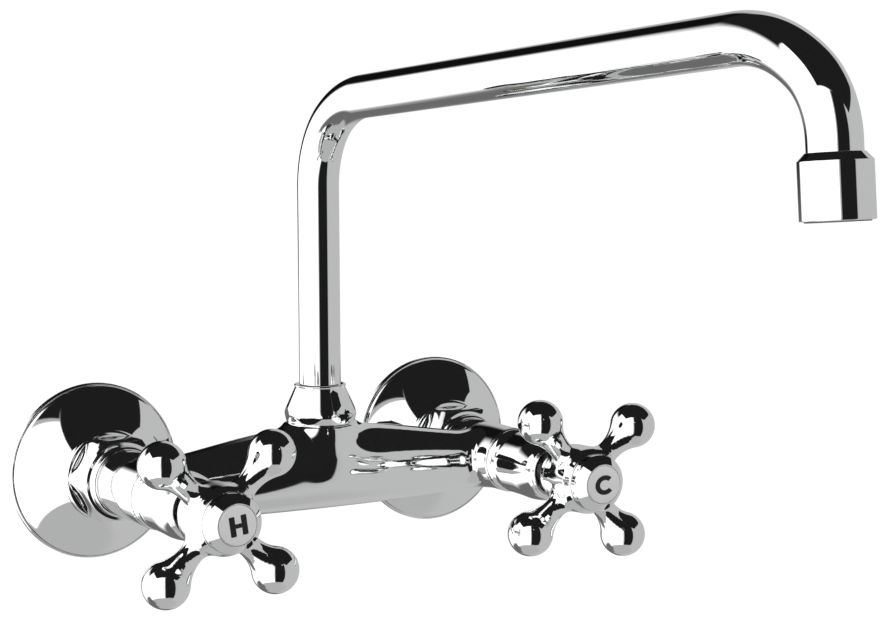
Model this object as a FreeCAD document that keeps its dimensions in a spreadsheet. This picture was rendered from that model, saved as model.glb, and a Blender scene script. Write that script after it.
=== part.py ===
"""Two handle wall kitchen faucet, as an assembly of its separate pieces.

Frame: +Z up, +X to the right of a person facing the wall, and the wall is the plane Y = 0, with the
faucet standing out of it along -Y. The origin is midway between the two wall tails, in the wall plane.
Millimetres. Each piece is drawn about its own axis and is then placed in that frame.
"""
import FreeCAD, Part
import Sketcher
import math
import os
import re

Vector = FreeCAD.Vector
Rotation = FreeCAD.Rotation
Placement = FreeCAD.Placement

# Driving sizes. "depth" is the distance out from the wall along a valve's axis, "height" is the
# distance above the valve axes, and "drop" is the distance along the outlet's axis below the corner
# where the arm's centre line meets it.
DIMENSIONS = [
    # wall side
    ("inlet_spacing", 150.0),      # between the two wall tails, the usual rough-in
    ("offset_rise", 7.0),          # how far the eccentric unions lift the valves above the tails
    ("tail_radius", 10.48),        # G 1/2 thread
    ("tail_length", 20.0),         # behind the wall plane
    ("tail_bore", 7.5),
    ("union_block_front", 8.0),
    ("union_block_radius", 13.6),
    ("union_radius", 13.2),        # G 3/4 thread
    ("union_front", 24.3),
    ("union_bore", 8.5),
    ("rose_radius", 34.0),
    ("rose_front", 16.4),
    ("rose_neck_radius", 17.6),
    ("rose_wall", 1.4),
    ("rose_rim", 2.2),
    ("rose_bore", 13.25),
    ("washer_radius", 12.8),
    ("washer_bore", 8.5),
    ("washer_depth", 2.0),
    ("nut_back", 17.0),
    ("nut_hex_front", 30.0),
    ("nut_lip_front", 33.4),
    ("nut_flats", 30.0),           # across flats
    ("nut_lip_radius", 13.5),
    ("nut_thread_radius", 13.3),
    ("nut_hole_radius", 11.5),
    ("tailpiece_flange_front", 28.6),
    ("tailpiece_neck", 11.3),
    ("tailpiece_thread", 9.0),
    ("tailpiece_front", 39.6),
    ("tailpiece_bore", 6.6),
    # body casting
    ("tower_radius", 12.6),
    ("tower_back", 34.2),
    ("tower_front", 66.0),
    ("seat_depth", 42.2),
    ("seat_hole", 5.2),
    ("chamber_radius", 9.6),
    ("chamber_front", 57.4),
    ("cartridge_thread", 10.0),    # M20 headwork thread
    ("spout_out", 46.5),           # spout and bridge axis, out from the wall
    ("bridge_end_reach", 71.0),    # outermost bridge section, inside the tower
    ("bridge_end_width", 10.4),    # half sizes of the oval, and the height of its middle
    ("bridge_end_height", 10.6),
    ("bridge_end_middle", -1.3),
    ("bridge_quarter_width", 13.9),
    ("bridge_quarter_height", 14.5),
    ("bridge_quarter_middle", 0.2),
    ("bridge_crown_width", 16.4),
    ("bridge_crown_height", 16.2),
    ("bridge_crown_middle", 1.6),
    ("bridge_passage", 4.4),
    ("tower_blend", 4.0),
    ("hub_blend", 6.0),
    ("hub_top", 18.4),
    ("hub_top_radius", 13.4),
    ("hub_foot", 7.0),
    ("hub_foot_radius", 15.2),
    ("nipple_top", 27.0),
    ("nipple_radius", 11.2),
    ("socket_radius", 9.0),
    ("socket_floor", 5.0),
    # headwork
    ("stack_radius", 7.4),
    ("seal_depth", 1.2),
    ("fixed_disc_depth", 2.0),
    ("turning_disc_depth", 2.2),
    ("disc_port_radius", 5.6),
    ("cage_radius", 9.4),
    ("cage_bore", 7.5),
    ("window_back", 48.0),
    ("window_front", 52.8),
    ("window_half_width", 3.6),
    ("thrust_depth", 53.4),
    ("thrust_thickness", 1.8),
    ("journal_radius", 4.4),
    ("journal_bore", 4.45),
    ("journal_front", 97.0),
    ("inner_oring", 62.0),         # middle of the O-ring, and so on
    ("outer_oring", 80.0),
    ("oring_major", 3.91),
    ("oring_minor", 0.5),
    ("clip_back", 92.5),
    ("clip_front", 93.3),
    ("clip_floor", 3.7),
    ("bonnet_hex", 19.0),
    ("bonnet_flange_radius", 11.2),
    ("bonnet_neck_front", 75.0),
    ("bonnet_neck_radius", 7.5),
    ("bonnet_top", 92.0),
    ("shroud_radius", 12.3),
    ("shroud_front", 97.4),
    ("shroud_lip_radius", 10.0),
    ("shroud_web", 84.0),
    ("spindle_square", 6.0),
    ("spindle_front", 112.0),
    ("screw_radius", 2.5),
    # cross handle
    ("handle_back", 101.4),
    ("handle_skirt_radius", 9.9),
    ("handle_radius", 12.5),
    ("handle_shoulder", 121.5),
    ("handle_front", 124.4),
    ("arm_depth", 115.5),
    ("ball_reach", 29.5),
    ("ball_radius", 8.5),
    ("neck_reach", 15.8),
    ("neck_radius", 4.15),
    ("arm_blend", 2.5),
    ("recess_depth", 4.9),
    ("recess_radius", 9.0),
    ("screw_head_radius", 4.6),
    ("screw_head_height", 2.9),
    ("cap_plug_radius", 6.8),
    ("cap_plug_length", 2.9),
    ("cap_radius", 10.7),
    ("cap_front", 130.3),
    ("index_radius", 7.1),
    ("index_front", 131.0),
    ("hot_angle", 46.0),           # first arm, turned from the horizontal
    ("cold_angle", 39.0),
    # spout
    ("tube_radius", 8.0),
    ("tube_bore", 7.0),
    ("tube_foot", 20.0),
    ("arm_height", 141.0),
    ("arm_reach", 305.0),
    ("arm_rise", 5.0),             # degrees
    ("first_bend", 32.6),          # each bend is two arcs: the tighter one, the wider one towards
    ("first_bend_turn", 56.0),     # the arm, and how far the one that comes first turns, in degrees
    ("first_sweep", 49.2),
    ("second_sweep", 51.6),
    ("second_sweep_turn", 39.0),
    ("second_bend", 25.7),
    ("ferrule_radius", 8.95),
    ("ferrule_foot", 5.6),
    ("ferrule_top", 30.4),
    ("spout_inner_oring", 9.35),
    ("spout_outer_oring", 14.95),
    ("spout_oring_major", 8.34),
    ("spout_oring_minor", 0.63),
    ("split_ring_foot", 27.4),
    ("split_ring_top", 28.9),
    ("split_ring_bore", 8.4),
    ("split_ring_radius", 10.6),
    ("spout_nut_foot", 18.5),
    ("spout_nut_foot_radius", 12.6),
    ("spout_nut_waist", 22.3),
    ("spout_nut_radius", 14.1),
    ("spout_nut_top", 33.7),
    ("spout_nut_top_radius", 9.8),
    ("spout_nut_flats", 26.0),
    ("spout_nut_turn", 13.0),
    # outlet
    ("collar_top", 34.6),
    ("collar_shoulder", 36.9),
    ("collar_radius", 10.6),
    ("collar_foot", 53.3),
    ("outlet_thread", 9.5),
    ("outlet_bore", 7.6),
    ("aerator_top", 46.0),
    ("aerator_inside", 8.3),
    ("aerator_step", 51.4),
    ("sieve_radius", 8.2),
    ("diffuser_top", 47.0),
    ("screen_top", 50.7),
]


# ---------------------------------------------------------------- sheet and sketch helpers
def make_sheet(doc):
    """The sheet of driving sizes, one named cell each."""
    sheet = doc.addObject("Spreadsheet::Sheet", "dims")
    for row, (alias, size) in enumerate(DIMENSIONS, start=1):
        cell = "B%d" % row
        sheet.set("A%d" % row, alias)
        sheet.set(cell, str(size))
        sheet.setAlias(cell, alias)
    doc.recompute()
    return sheet


def value(sheet, expression):
    """The number that an expression in the sheet's names stands for."""
    return float(sheet.evalExpression(expression))


def bound(expression):
    """The same expression, as another object has to write it."""
    return re.sub(r"(?<![\w.])([a-z]+(?:_[a-z]+)+)", r"dims.\1", expression)


def origin_plane(body, role):
    """One of a body's own three planes."""
    for feature in body.Origin.OriginFeatures:
        if feature.Role == role:
            return feature
    raise ValueError(role)


def new_body(doc, label):
    """An empty body; its label is the node's name."""
    body = doc.addObject("PartDesign::Body", label)
    body.Label = label
    return body


def new_sketch(body, name, role, offset="0"):
    """An empty sketch on one of the body's planes, moved along the plane's normal."""
    sheet = body.Document.getObject("dims")
    sketch = body.newObject("Sketcher::SketchObject", name)
    sketch.AttachmentSupport = [(origin_plane(body, role), "")]
    sketch.MapMode = "FlatFace"
    if offset != "0":
        sketch.AttachmentOffset = Placement(Vector(0, 0, value(sheet, offset)), Rotation())
        sketch.setExpression("AttachmentOffset.Base.z", bound(offset))
    return sketch


def pin_point(sketch, geometry, position, corner):
    """Tie one end of an edge to two expressions."""
    sheet = sketch.Document.getObject("dims")
    for kind, expression in (("DistanceX", corner[0]), ("DistanceY", corner[1])):
        number = value(sheet, expression)
        index = sketch.addConstraint(Sketcher.Constraint(kind, geometry, position, number))
        sketch.setExpression("Constraints[%d]" % index, bound(expression))


def arc_between(start, end, radius, side):
    """An arc of the given radius; side +1 has its centre to the left of the way from start to end."""
    chord = end - start
    middle = (start + end) * 0.5
    height = math.sqrt(max(radius ** 2 - chord.Length ** 2 / 4.0, 0.0))
    left = Vector(-chord.y, chord.x, 0).normalize()
    centre = middle + left * (height * side)
    angles = [math.atan2(p.y - centre.y, p.x - centre.x) for p in (start, end)]
    if side < 0:
        angles.reverse()
    circle = Part.Circle(centre, Vector(0, 0, 1), radius)
    return Part.ArcOfCircle(circle, angles[0], angles[1])


def draw_outline(sketch, corners, closed=True):
    """Edges through the corners. A corner is (x, y), or (x, y, radius, side) where an arc leaves it."""
    sheet = sketch.Document.getObject("dims")
    places = [Vector(value(sheet, c[0]), value(sheet, c[1]), 0) for c in corners]
    count = len(corners)
    edges = []
    for index in range(count if closed else count - 1):
        start = places[index]
        end = places[(index + 1) % count]
        corner = corners[index]
        if len(corner) == 4:
            radius = value(sheet, corner[2])
            geometry = sketch.addGeometry(arc_between(start, end, radius, corner[3]), False)
            ends = (1, 2) if corner[3] > 0 else (2, 1)
            key = sketch.addConstraint(Sketcher.Constraint("Radius", geometry, radius))
            sketch.setExpression("Constraints[%d]" % key, bound(corner[2]))
        else:
            geometry = sketch.addGeometry(Part.LineSegment(start, end), False)
            ends = (1, 2)
        edges.append((geometry, ends))
    for index in range(count if closed else count - 1):
        geometry, ends = edges[index]
        pin_point(sketch, geometry, ends[0], corners[index])
        following = index + 1
        if closed or following < count - 1:
            after, after_ends = edges[following % len(edges)]
            sketch.addConstraint(Sketcher.Constraint("Coincident", geometry, ends[1], after, after_ends[0]))
        else:
            pin_point(sketch, geometry, ends[1], corners[following])
    return edges


def draw_circle(sketch, radius, centre=("0", "0")):
    """A circle of the given radius about a centre."""
    sheet = sketch.Document.getObject("dims")
    place = Vector(value(sheet, centre[0]), value(sheet, centre[1]), 0)
    number = value(sheet, radius)
    geometry = sketch.addGeometry(Part.Circle(place, Vector(0, 0, 1), number), False)
    pin_point(sketch, geometry, 3, centre)
    key = sketch.addConstraint(Sketcher.Constraint("Radius", geometry, number))
    sketch.setExpression("Constraints[%d]" % key, bound(radius))
    return geometry


def hexagon(flats):
    """Corners of a hexagon by its size across flats, with two corners on the X axis."""
    corners = []
    for step in range(6):
        corners.append(("%s / sqrt(3) * cos(%d deg)" % (flats, 60 * step),
                        "%s / sqrt(3) * sin(%d deg)" % (flats, 60 * step)))
    return corners


def rectangle(width, height):
    """Corners of a rectangle about the origin."""
    return [("-%s / 2" % width, "-%s / 2" % height), ("%s / 2" % width, "-%s / 2" % height),
            ("%s / 2" % width, "%s / 2" % height), ("-%s / 2" % width, "%s / 2" % height)]


# ---------------------------------------------------------------- feature helpers
def revolve(body, name, corners, kind="Revolution", role="XZ_Plane", axis_at=None):
    """A turned feature about the sketch's upright axis, or about one drawn at axis_at.

    axis_at is (which, expression): "x" for an upright axis at that x, "y" for a level one at that y.
    """
    sheet = body.Document.getObject("dims")
    sketch = new_sketch(body, name + "_sketch", role)
    draw_outline(sketch, corners)
    feature = body.newObject("PartDesign::" + kind, name)
    feature.Profile = sketch
    if axis_at is None:
        feature.ReferenceAxis = (sketch, ["V_Axis"])
    else:
        which, place = axis_at
        ends = [(place, "0"), (place, "10")] if which == "x" else [("0", place), ("10", place)]
        points = [Vector(value(sheet, e[0]), value(sheet, e[1]), 0) for e in ends]
        line = sketch.addGeometry(Part.LineSegment(points[0], points[1]), True)
        pin_point(sketch, line, 1, ends[0])
        pin_point(sketch, line, 2, ends[1])
        feature.ReferenceAxis = (sketch, ["Axis0"])
    feature.Angle = 360.0
    body.Document.recompute()
    return feature


def pad(body, name, corners, start, length):
    """A straight feature along the body's Z from start, for the given length."""
    sketch = new_sketch(body, name + "_sketch", "XY_Plane", start)
    draw_outline(sketch, corners)
    feature = body.newObject("PartDesign::Pad", name)
    feature.Profile = sketch
    feature.setExpression("Length", bound(length))
    body.Document.recompute()
    return feature


def pad_circle(body, name, radius, start, length, centre=("0", "0")):
    """A straight round boss."""
    sketch = new_sketch(body, name + "_sketch", "XY_Plane", start)
    draw_circle(sketch, radius, centre)
    feature = body.newObject("PartDesign::Pad", name)
    feature.Profile = sketch
    feature.setExpression("Length", bound(length))
    body.Document.recompute()
    return feature


def pocket(body, name, draw, start, length, upward=True):
    """A straight cut from start; draw(sketch) puts its outline on the sketch."""
    before = body.Shape.Volume
    sketch = new_sketch(body, name + "_sketch", "XY_Plane", start)
    draw(sketch)
    feature = body.newObject("PartDesign::Pocket", name)
    feature.Profile = sketch
    feature.setExpression("Length", bound(length))
    feature.Reversed = upward
    body.Document.recompute()
    if feature.Shape.Volume >= before:
        raise RuntimeError("%s cuts nothing" % name)
    return feature


def groove(body, name, corners, role="XZ_Plane", axis_at=None):
    """A turned cut, with the check that it takes something away."""
    before = body.Shape.Volume
    feature = revolve(body, name, corners, "Groove", role, axis_at)
    if feature.Shape.Volume >= before:
        raise RuntimeError("%s cuts nothing" % name)
    return feature


def is_spline(edge):
    """Where two curved surfaces cross, the edge is a spline."""
    try:
        return edge.Curve.TypeId == "Part::GeomBSplineCurve"
    except TypeError:
        return False


def blend(body, name, radius, wanted):
    """A fillet along the crossing lines whose box wanted(box) picks out."""
    base = body.Tip
    names = []
    for number, edge in enumerate(base.Shape.Edges, start=1):
        if is_spline(edge) and wanted(edge.BoundBox):
            names.append("Edge%d" % number)
    before = base.Shape.Volume
    fillet = body.newObject("PartDesign::Fillet", name)
    fillet.Base = (base, names)
    fillet.setExpression("Radius", bound(radius))
    body.Document.recompute()
    if not names or fillet.Shape.Volume <= before:
        raise RuntimeError("%s blends nothing" % name)
    return fillet


def ring(doc, label, outer, inner, start, end):
    """A plain flat ring."""
    body = new_body(doc, label)
    revolve(body, label + "_turn", [(inner, start), (outer, start), (outer, end), (inner, end)])
    return body


def toroids(doc, label, major, minor, places):
    """O-rings of one size on one axis, as separate solids in one object."""
    sheet = doc.getObject("dims")
    rings = []
    for place in places:
        centre = Vector(0, 0, value(sheet, place))
        rings.append(Part.makeTorus(value(sheet, major), value(sheet, minor), centre))
    feature = doc.addObject("Part::Feature", label)
    feature.Label = label
    feature.Shape = rings[0] if len(rings) == 1 else Part.makeCompound(rings)
    return feature


# ---------------------------------------------------------------- wall side
def inlet_union(doc, label):
    """Eccentric union: the wall tail's axis lies offset_rise below the valve's axis."""
    body = new_body(doc, label)
    low = "-offset_rise"
    pad_circle(body, label + "_tail", "tail_radius", "-tail_length", "tail_length + 1.5", ("0", low))
    wide = "union_block_radius"
    block = [("-" + wide, low, wide, 1), ("0", low + " - " + wide, wide, 1), (wide, low),
             (wide, "0", wide, 1), ("0", wide, wide, 1), ("-" + wide, "0")]
    pad(body, label + "_block", block, "1.0", "union_block_front - 1.0")
    pad_circle(body, label + "_thread", "union_radius", "union_block_front - 0.5",
               "union_front - union_block_front + 0.5")
    pocket(body, label + "_wall_bore", lambda s: draw_circle(s, "tail_bore", ("0", low)),
           "-tail_length - 1", "tail_length + 6.5")
    pocket(body, label + "_valve_bore", lambda s: draw_circle(s, "union_bore"),
           "3.0", "union_front")
    return body


def escutcheon(doc, label):
    """Thin spun rose: a flat rim on the wall, a hollow cone, and a sleeve round the union."""
    body = new_body(doc, label)
    revolve(body, label + "_shell", [
        ("rose_radius - rose_wall", "0"),
        ("rose_radius - 0.5", "0"),
        ("rose_radius", "0.5"),
        ("rose_radius", "1.4", "0.9", 1),
        ("rose_radius - 1.1", "rose_rim"),
        ("rose_radius - 2.4", "rose_rim", "46.0", -1),
        ("rose_neck_radius", "rose_front - 1.4", "1.5", 1),
        ("rose_neck_radius - 1.5", "rose_front"),
        ("rose_bore", "rose_front"),
        ("rose_bore", "rose_front - 5.5"),
        ("rose_bore + 1.3", "rose_front - 5.5"),
        ("rose_bore + 1.3", "rose_front - 1.6"),
        ("rose_neck_radius - rose_wall", "rose_front - 2.4", "46.0", 1),
        ("rose_radius - 3.4", "rose_rim - 1.0"),
        ("rose_radius - rose_wall", "rose_rim - 1.0"),
    ])
    return body


def union_nut(doc, label):
    """Hexagon union nut with a chamfered front, a turned lip and an inner shoulder."""
    body = new_body(doc, label)
    corner = "nut_flats / sqrt(3)"
    pad(body, label + "_hex", hexagon("nut_flats"), "nut_back", "nut_hex_front - nut_back")
    groove(body, label + "_front_chamfer", [
        ("nut_flats / 2 - 0.3", "nut_hex_front + 0.01"),
        (corner + " + 1", "nut_hex_front + 0.01"),
        (corner + " + 1", "nut_hex_front - 2.4"),
    ])
    groove(body, label + "_back_chamfer", [
        (corner + " + 1", "nut_back - 0.01"),
        ("nut_flats / 2 + 0.4", "nut_back - 0.01"),
        (corner + " + 1", "nut_back + 1.4"),
    ])
    revolve(body, label + "_lip", [
        ("nut_hole_radius", "nut_hex_front - 0.5"),
        ("nut_lip_radius", "nut_hex_front - 0.5"),
        ("nut_lip_radius", "nut_lip_front - 1.2", "1.2", 1),
        ("nut_lip_radius - 1.2", "nut_lip_front"),
        ("nut_hole_radius", "nut_lip_front"),
    ])
    groove(body, label + "_bore", [
        ("0", "nut_back - 1"),
        ("nut_thread_radius", "nut_back - 1"),
        ("nut_thread_radius", "tailpiece_flange_front"),
        ("nut_hole_radius", "tailpiece_flange_front"),
        ("nut_hole_radius", "nut_lip_front + 1"),
        ("0", "nut_lip_front + 1"),
    ])
    return body


def tailpiece(doc, label):
    """Turned inlet piece: its flange takes the washer, its spigot screws into the casting."""
    body = new_body(doc, label)
    revolve(body, label + "_turn", [
        ("tailpiece_bore", "union_front + washer_depth"),
        ("nut_thread_radius - 0.4", "union_front + washer_depth"),
        ("nut_thread_radius - 0.4", "tailpiece_flange_front"),
        ("tailpiece_neck", "tailpiece_flange_front"),
        ("tailpiece_neck", "tower_back"),
        ("tailpiece_thread", "tower_back"),
        ("tailpiece_thread", "tailpiece_front"),
        ("tailpiece_bore", "tailpiece_front"),
    ])
    return body


# ---------------------------------------------------------------- body casting
def bridge_section(sketch, half_width, half_height, middle):
    """An oval across the bridge, about the spout's axis distance."""
    sheet = sketch.Document.getObject("dims")
    centre = Vector(-value(sheet, "spout_out"), value(sheet, middle), 0)
    wide = value(sheet, half_width)
    tall = value(sheet, half_height)
    if wide >= tall:
        oval = Part.Ellipse(centre, wide, tall)
    else:
        oval = Part.Ellipse(centre + Vector(0, tall, 0), centre + Vector(-wide, 0, 0), centre)
    sketch.addGeometry(oval, False)


def faucet_body(doc, label):
    """The casting: two valve towers, the humped bridge between them and the spout's hub."""
    sheet = doc.getObject("dims")
    top = value(sheet, "hub_top") - 0.1
    body = new_body(doc, label)
    loft_sketches = []
    sections = [("-bridge_end_reach", "bridge_end"), ("-bridge_end_reach / 2", "bridge_quarter"),
                ("0", "bridge_crown"),
                ("bridge_end_reach / 2", "bridge_quarter"), ("bridge_end_reach", "bridge_end")]
    for number, (reach, oval) in enumerate(sections):
        sketch = new_sketch(body, "%s_oval_%d" % (label, number), "YZ_Plane", reach)
        bridge_section(sketch, oval + "_width", oval + "_height", oval + "_middle")
        loft_sketches.append(sketch)
    doc.recompute()
    loft = body.newObject("PartDesign::AdditiveLoft", label + "_bridge")
    loft.Profile = loft_sketches[0]
    loft.Sections = loft_sketches[1:]
    loft.Ruled = False
    doc.recompute()
    revolve(body, label + "_hub", [
        ("-spout_out", "0"),
        ("-spout_out - hub_foot_radius + 1.5", "0"),
        ("-spout_out - hub_foot_radius", "hub_foot", "40.0", -1),
        ("-spout_out - hub_top_radius", "hub_top"),
        ("-spout_out - nipple_radius", "hub_top"),
        ("-spout_out - nipple_radius", "nipple_top - 0.6"),
        ("-spout_out - nipple_radius + 0.6", "nipple_top"),
        ("-spout_out", "nipple_top"),
    ], role="YZ_Plane", axis_at=("x", "-spout_out"))
    for side, sign in (("hot", "-"), ("cold", "")):
        axis = sign + "inlet_spacing / 2"
        revolve(body, "%s_%s_tower" % (label, side), [
            (axis, "-tower_back"),
            (axis + " + tower_radius - 1.6", "-tower_back", "1.6", -1),
            (axis + " + tower_radius", "-tower_back - 1.6"),
            (axis + " + tower_radius", "-tower_front + 0.3"),
            (axis + " + tower_radius - 0.3", "-tower_front"),
            (axis, "-tower_front"),
        ], role="XY_Plane", axis_at=("x", axis))

    near = value(sheet, "hub_foot_radius") + 8.0
    far = value(sheet, "inlet_spacing / 2 - tower_radius") - 2.0
    blend(body, label + "_tower_blend", "tower_blend", lambda box: min(abs(box.XMin), abs(box.XMax)) > far)
    blend(body, label + "_hub_blend", "hub_blend",
          lambda box: max(abs(box.XMin), abs(box.XMax)) < near and box.ZMax < top)
    faucet_body_bores(body, label)
    return body


def faucet_body_bores(body, label):
    """The water ways: inlet thread, seat, headwork chamber, bridge passage and spout socket."""
    for side, sign in (("hot", "-"), ("cold", "")):
        axis = sign + "inlet_spacing / 2"
        groove(body, "%s_%s_bore" % (label, side), [
            (axis, "-tower_back + 1"),
            (axis + " + tailpiece_thread", "-tower_back + 1"),
            (axis + " + tailpiece_thread", "-tailpiece_front"),
            (axis + " + seat_hole", "-tailpiece_front"),
            (axis + " + seat_hole", "-seat_depth"),
            (axis + " + chamber_radius", "-seat_depth"),
            (axis + " + chamber_radius", "-chamber_front"),
            (axis + " + cartridge_thread", "-chamber_front"),
            (axis + " + cartridge_thread", "-tower_front - 1"),
            (axis, "-tower_front - 1"),
        ], role="XY_Plane", axis_at=("x", axis))
    groove(body, label + "_passage", [
        ("-inlet_spacing / 2 + chamber_radius - 2", "-spout_out"),
        ("-inlet_spacing / 2 + chamber_radius - 2", "-spout_out - bridge_passage"),
        ("inlet_spacing / 2 - chamber_radius + 2", "-spout_out - bridge_passage"),
        ("inlet_spacing / 2 - chamber_radius + 2", "-spout_out"),
    ], role="XY_Plane", axis_at=("y", "-spout_out"))
    groove(body, label + "_socket", [
        ("-spout_out", "0"),
        ("-spout_out - 6.0", "0"),
        ("-spout_out - 6.0", "socket_floor"),
        ("-spout_out - socket_radius", "socket_floor"),
        ("-spout_out - socket_radius", "nipple_top + 1"),
        ("-spout_out", "nipple_top + 1"),
    ], role="YZ_Plane", axis_at=("x", "-spout_out"))


# ---------------------------------------------------------------- headwork
SEAL_BACK = "seat_depth"
FIXED_BACK = "seat_depth + seal_depth"
TURNING_BACK = "seat_depth + seal_depth + fixed_disc_depth + 0.02"
DRIVER_BACK = "seat_depth + seal_depth + fixed_disc_depth + turning_disc_depth - 1.0"


def half_moon(sketch, sign):
    """A port over nearly half a disc, on the side that sign gives."""
    chord = "0.9"
    half = "sqrt(disc_port_radius * disc_port_radius - %s * %s)" % (chord, chord)
    if sign > 0:
        corners = [(chord, "-" + half, "disc_port_radius", 1), (chord, half)]
    else:
        corners = [("-" + chord, half, "disc_port_radius", 1), ("-" + chord, "-" + half)]
    draw_outline(sketch, corners)


def fixed_disc(doc, label):
    """Ceramic disc that stands still: its port covers nearly half of it."""
    body = new_body(doc, label)
    pad_circle(body, label + "_disc", "stack_radius", FIXED_BACK, "fixed_disc_depth")
    pocket(body, label + "_port", lambda s: half_moon(s, -1), FIXED_BACK + " - 1", "fixed_disc_depth + 2")
    return body


def turning_disc(doc, label):
    """Ceramic disc that turns: its port, and the slot that the spindle's tongue drives."""
    body = new_body(doc, label)
    pad_circle(body, label + "_disc", "stack_radius - 0.2", TURNING_BACK, "turning_disc_depth - 0.02")
    pocket(body, label + "_port", lambda s: half_moon(s, 1), TURNING_BACK + " - 1", "turning_disc_depth + 2")
    pocket(body, label + "_slot", lambda s: draw_outline(s, rectangle("2.7", "9.2")), DRIVER_BACK, "3.0")
    return body


def valve_bonnet(doc, label):
    """Headwork housing: windowed cage, thread, flange, hexagon and threaded neck."""
    body = new_body(doc, label)
    revolve(body, label + "_turn", [
        ("cage_bore", "seat_depth + seal_depth + 0.2"),
        ("cage_radius", "seat_depth + seal_depth + 0.2"),
        ("cage_radius", "chamber_front + 0.2"),
        ("cartridge_thread - 0.05", "chamber_front + 0.2"),
        ("cartridge_thread - 0.05", "tower_front + 0.8"),
        ("bonnet_flange_radius", "tower_front + 0.8"),
        ("bonnet_flange_radius", "tower_front + 2.2"),
        ("bonnet_neck_radius", "tower_front + 2.2"),
        ("bonnet_neck_radius", "bonnet_top - 2.0"),
        ("bonnet_neck_radius - 1.0", "bonnet_top - 2.0"),
        ("bonnet_neck_radius - 1.0", "bonnet_top"),
        ("journal_bore", "bonnet_top"),
        ("journal_bore", "thrust_depth + thrust_thickness + 0.1"),
        ("cage_bore", "thrust_depth + thrust_thickness + 0.1"),
    ])
    sketch = new_sketch(body, label + "_hex_sketch", "XY_Plane", "tower_front + 2.2")
    draw_outline(sketch, hexagon("bonnet_hex"))
    draw_circle(sketch, "bonnet_neck_radius - 0.5")
    hexagon_pad = body.newObject("PartDesign::Pad", label + "_hex")
    hexagon_pad.Profile = sketch
    hexagon_pad.setExpression("Length", bound("bonnet_neck_front - tower_front - 2.2"))
    doc.recompute()
    before = hexagon_pad.Shape.Volume
    windows = new_sketch(body, label + "_windows_sketch", "XZ_Plane")
    draw_outline(windows, [("-window_half_width", "window_back"), ("window_half_width", "window_back"),
                           ("window_half_width", "window_front"), ("-window_half_width", "window_front")])
    cut = body.newObject("PartDesign::Pocket", label + "_windows")
    cut.Profile = windows
    cut.Type = "ThroughAll"
    cut.Midplane = True
    doc.recompute()
    if cut.Shape.Volume >= before:
        raise RuntimeError("the cage has no windows")
    return body


def valve_spindle(doc, label):
    """Turned spindle: driving tongue, thrust collar, grooved journal and square end."""
    body = new_body(doc, label)
    outline = [("0", DRIVER_BACK + " + 1.0"), ("3.2", DRIVER_BACK + " + 1.0"), ("3.2", "thrust_depth"),
               ("stack_radius - 0.1", "thrust_depth"),
               ("stack_radius - 0.1", "thrust_depth + thrust_thickness"),
               ("journal_radius", "thrust_depth + thrust_thickness")]
    seal_floor = "oring_major - oring_minor - 0.01"
    for start, end, floor in (("inner_oring - 0.6", "inner_oring + 0.6", seal_floor),
                              ("outer_oring - 0.6", "outer_oring + 0.6", seal_floor),
                              ("clip_back - 0.1", "clip_front + 0.1", "clip_floor")):
        outline += [("journal_radius", start), (floor, start), (floor, end), ("journal_radius", end)]
    outline += [("journal_radius", "journal_front - 0.4"), ("journal_radius - 0.4", "journal_front"),
                ("0", "journal_front")]
    revolve(body, label + "_turn", outline)
    pad(body, label + "_tongue", rectangle("2.6", "9.0"), DRIVER_BACK + " + 0.05", "2.4")
    pad(body, label + "_square", rectangle("spindle_square", "spindle_square"), "journal_front - 1.0",
        "spindle_front - journal_front + 1.0")
    pocket(body, label + "_tapping", lambda s: draw_circle(s, "screw_radius"), "spindle_front - 10.0", "11.0")
    return body


def spindle_clip(doc, label):
    """Open snap ring in the spindle's upper groove."""
    body = new_body(doc, label)
    revolve(body, label + "_turn", [
        ("clip_floor + 0.05", "clip_back"),
        ("6.0", "clip_back"),
        ("6.0", "clip_front"),
        ("clip_floor + 0.05", "clip_front"),
    ])
    gap = [("2.0", "-1.6"), ("8.0", "-1.6"), ("8.0", "1.6"), ("2.0", "1.6")]
    pocket(body, label + "_gap", lambda s: draw_outline(s, gap), "clip_back - 1.0",
           "clip_front - clip_back + 2.0")
    return body


def valve_shroud(doc, label):
    """Sleeve over the headwork, with a rolled lip and a hollow front."""
    body = new_body(doc, label)
    revolve(body, label + "_turn", [
        ("bonnet_flange_radius + 0.1", "tower_front"),
        ("shroud_radius - 0.3", "tower_front"),
        ("shroud_radius", "tower_front + 0.4"),
        ("shroud_radius - 0.25", "tower_front + 8.0"),
        ("shroud_radius + 0.1", "tower_front + 20.0", "11.0", 1),
        ("shroud_lip_radius", "shroud_front - 0.6", "0.6", 1),
        ("shroud_lip_radius - 0.7", "shroud_front", "0.6", 1),
        ("shroud_lip_radius - 1.1", "shroud_front - 0.7"),
        ("shroud_lip_radius - 1.3", "shroud_web + 3.0"),
        ("bonnet_neck_radius + 0.05", "shroud_web + 3.0"),
        ("bonnet_neck_radius + 0.05", "shroud_web"),
        ("bonnet_flange_radius + 0.1", "shroud_web - 2.0"),
    ])
    return body


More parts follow.
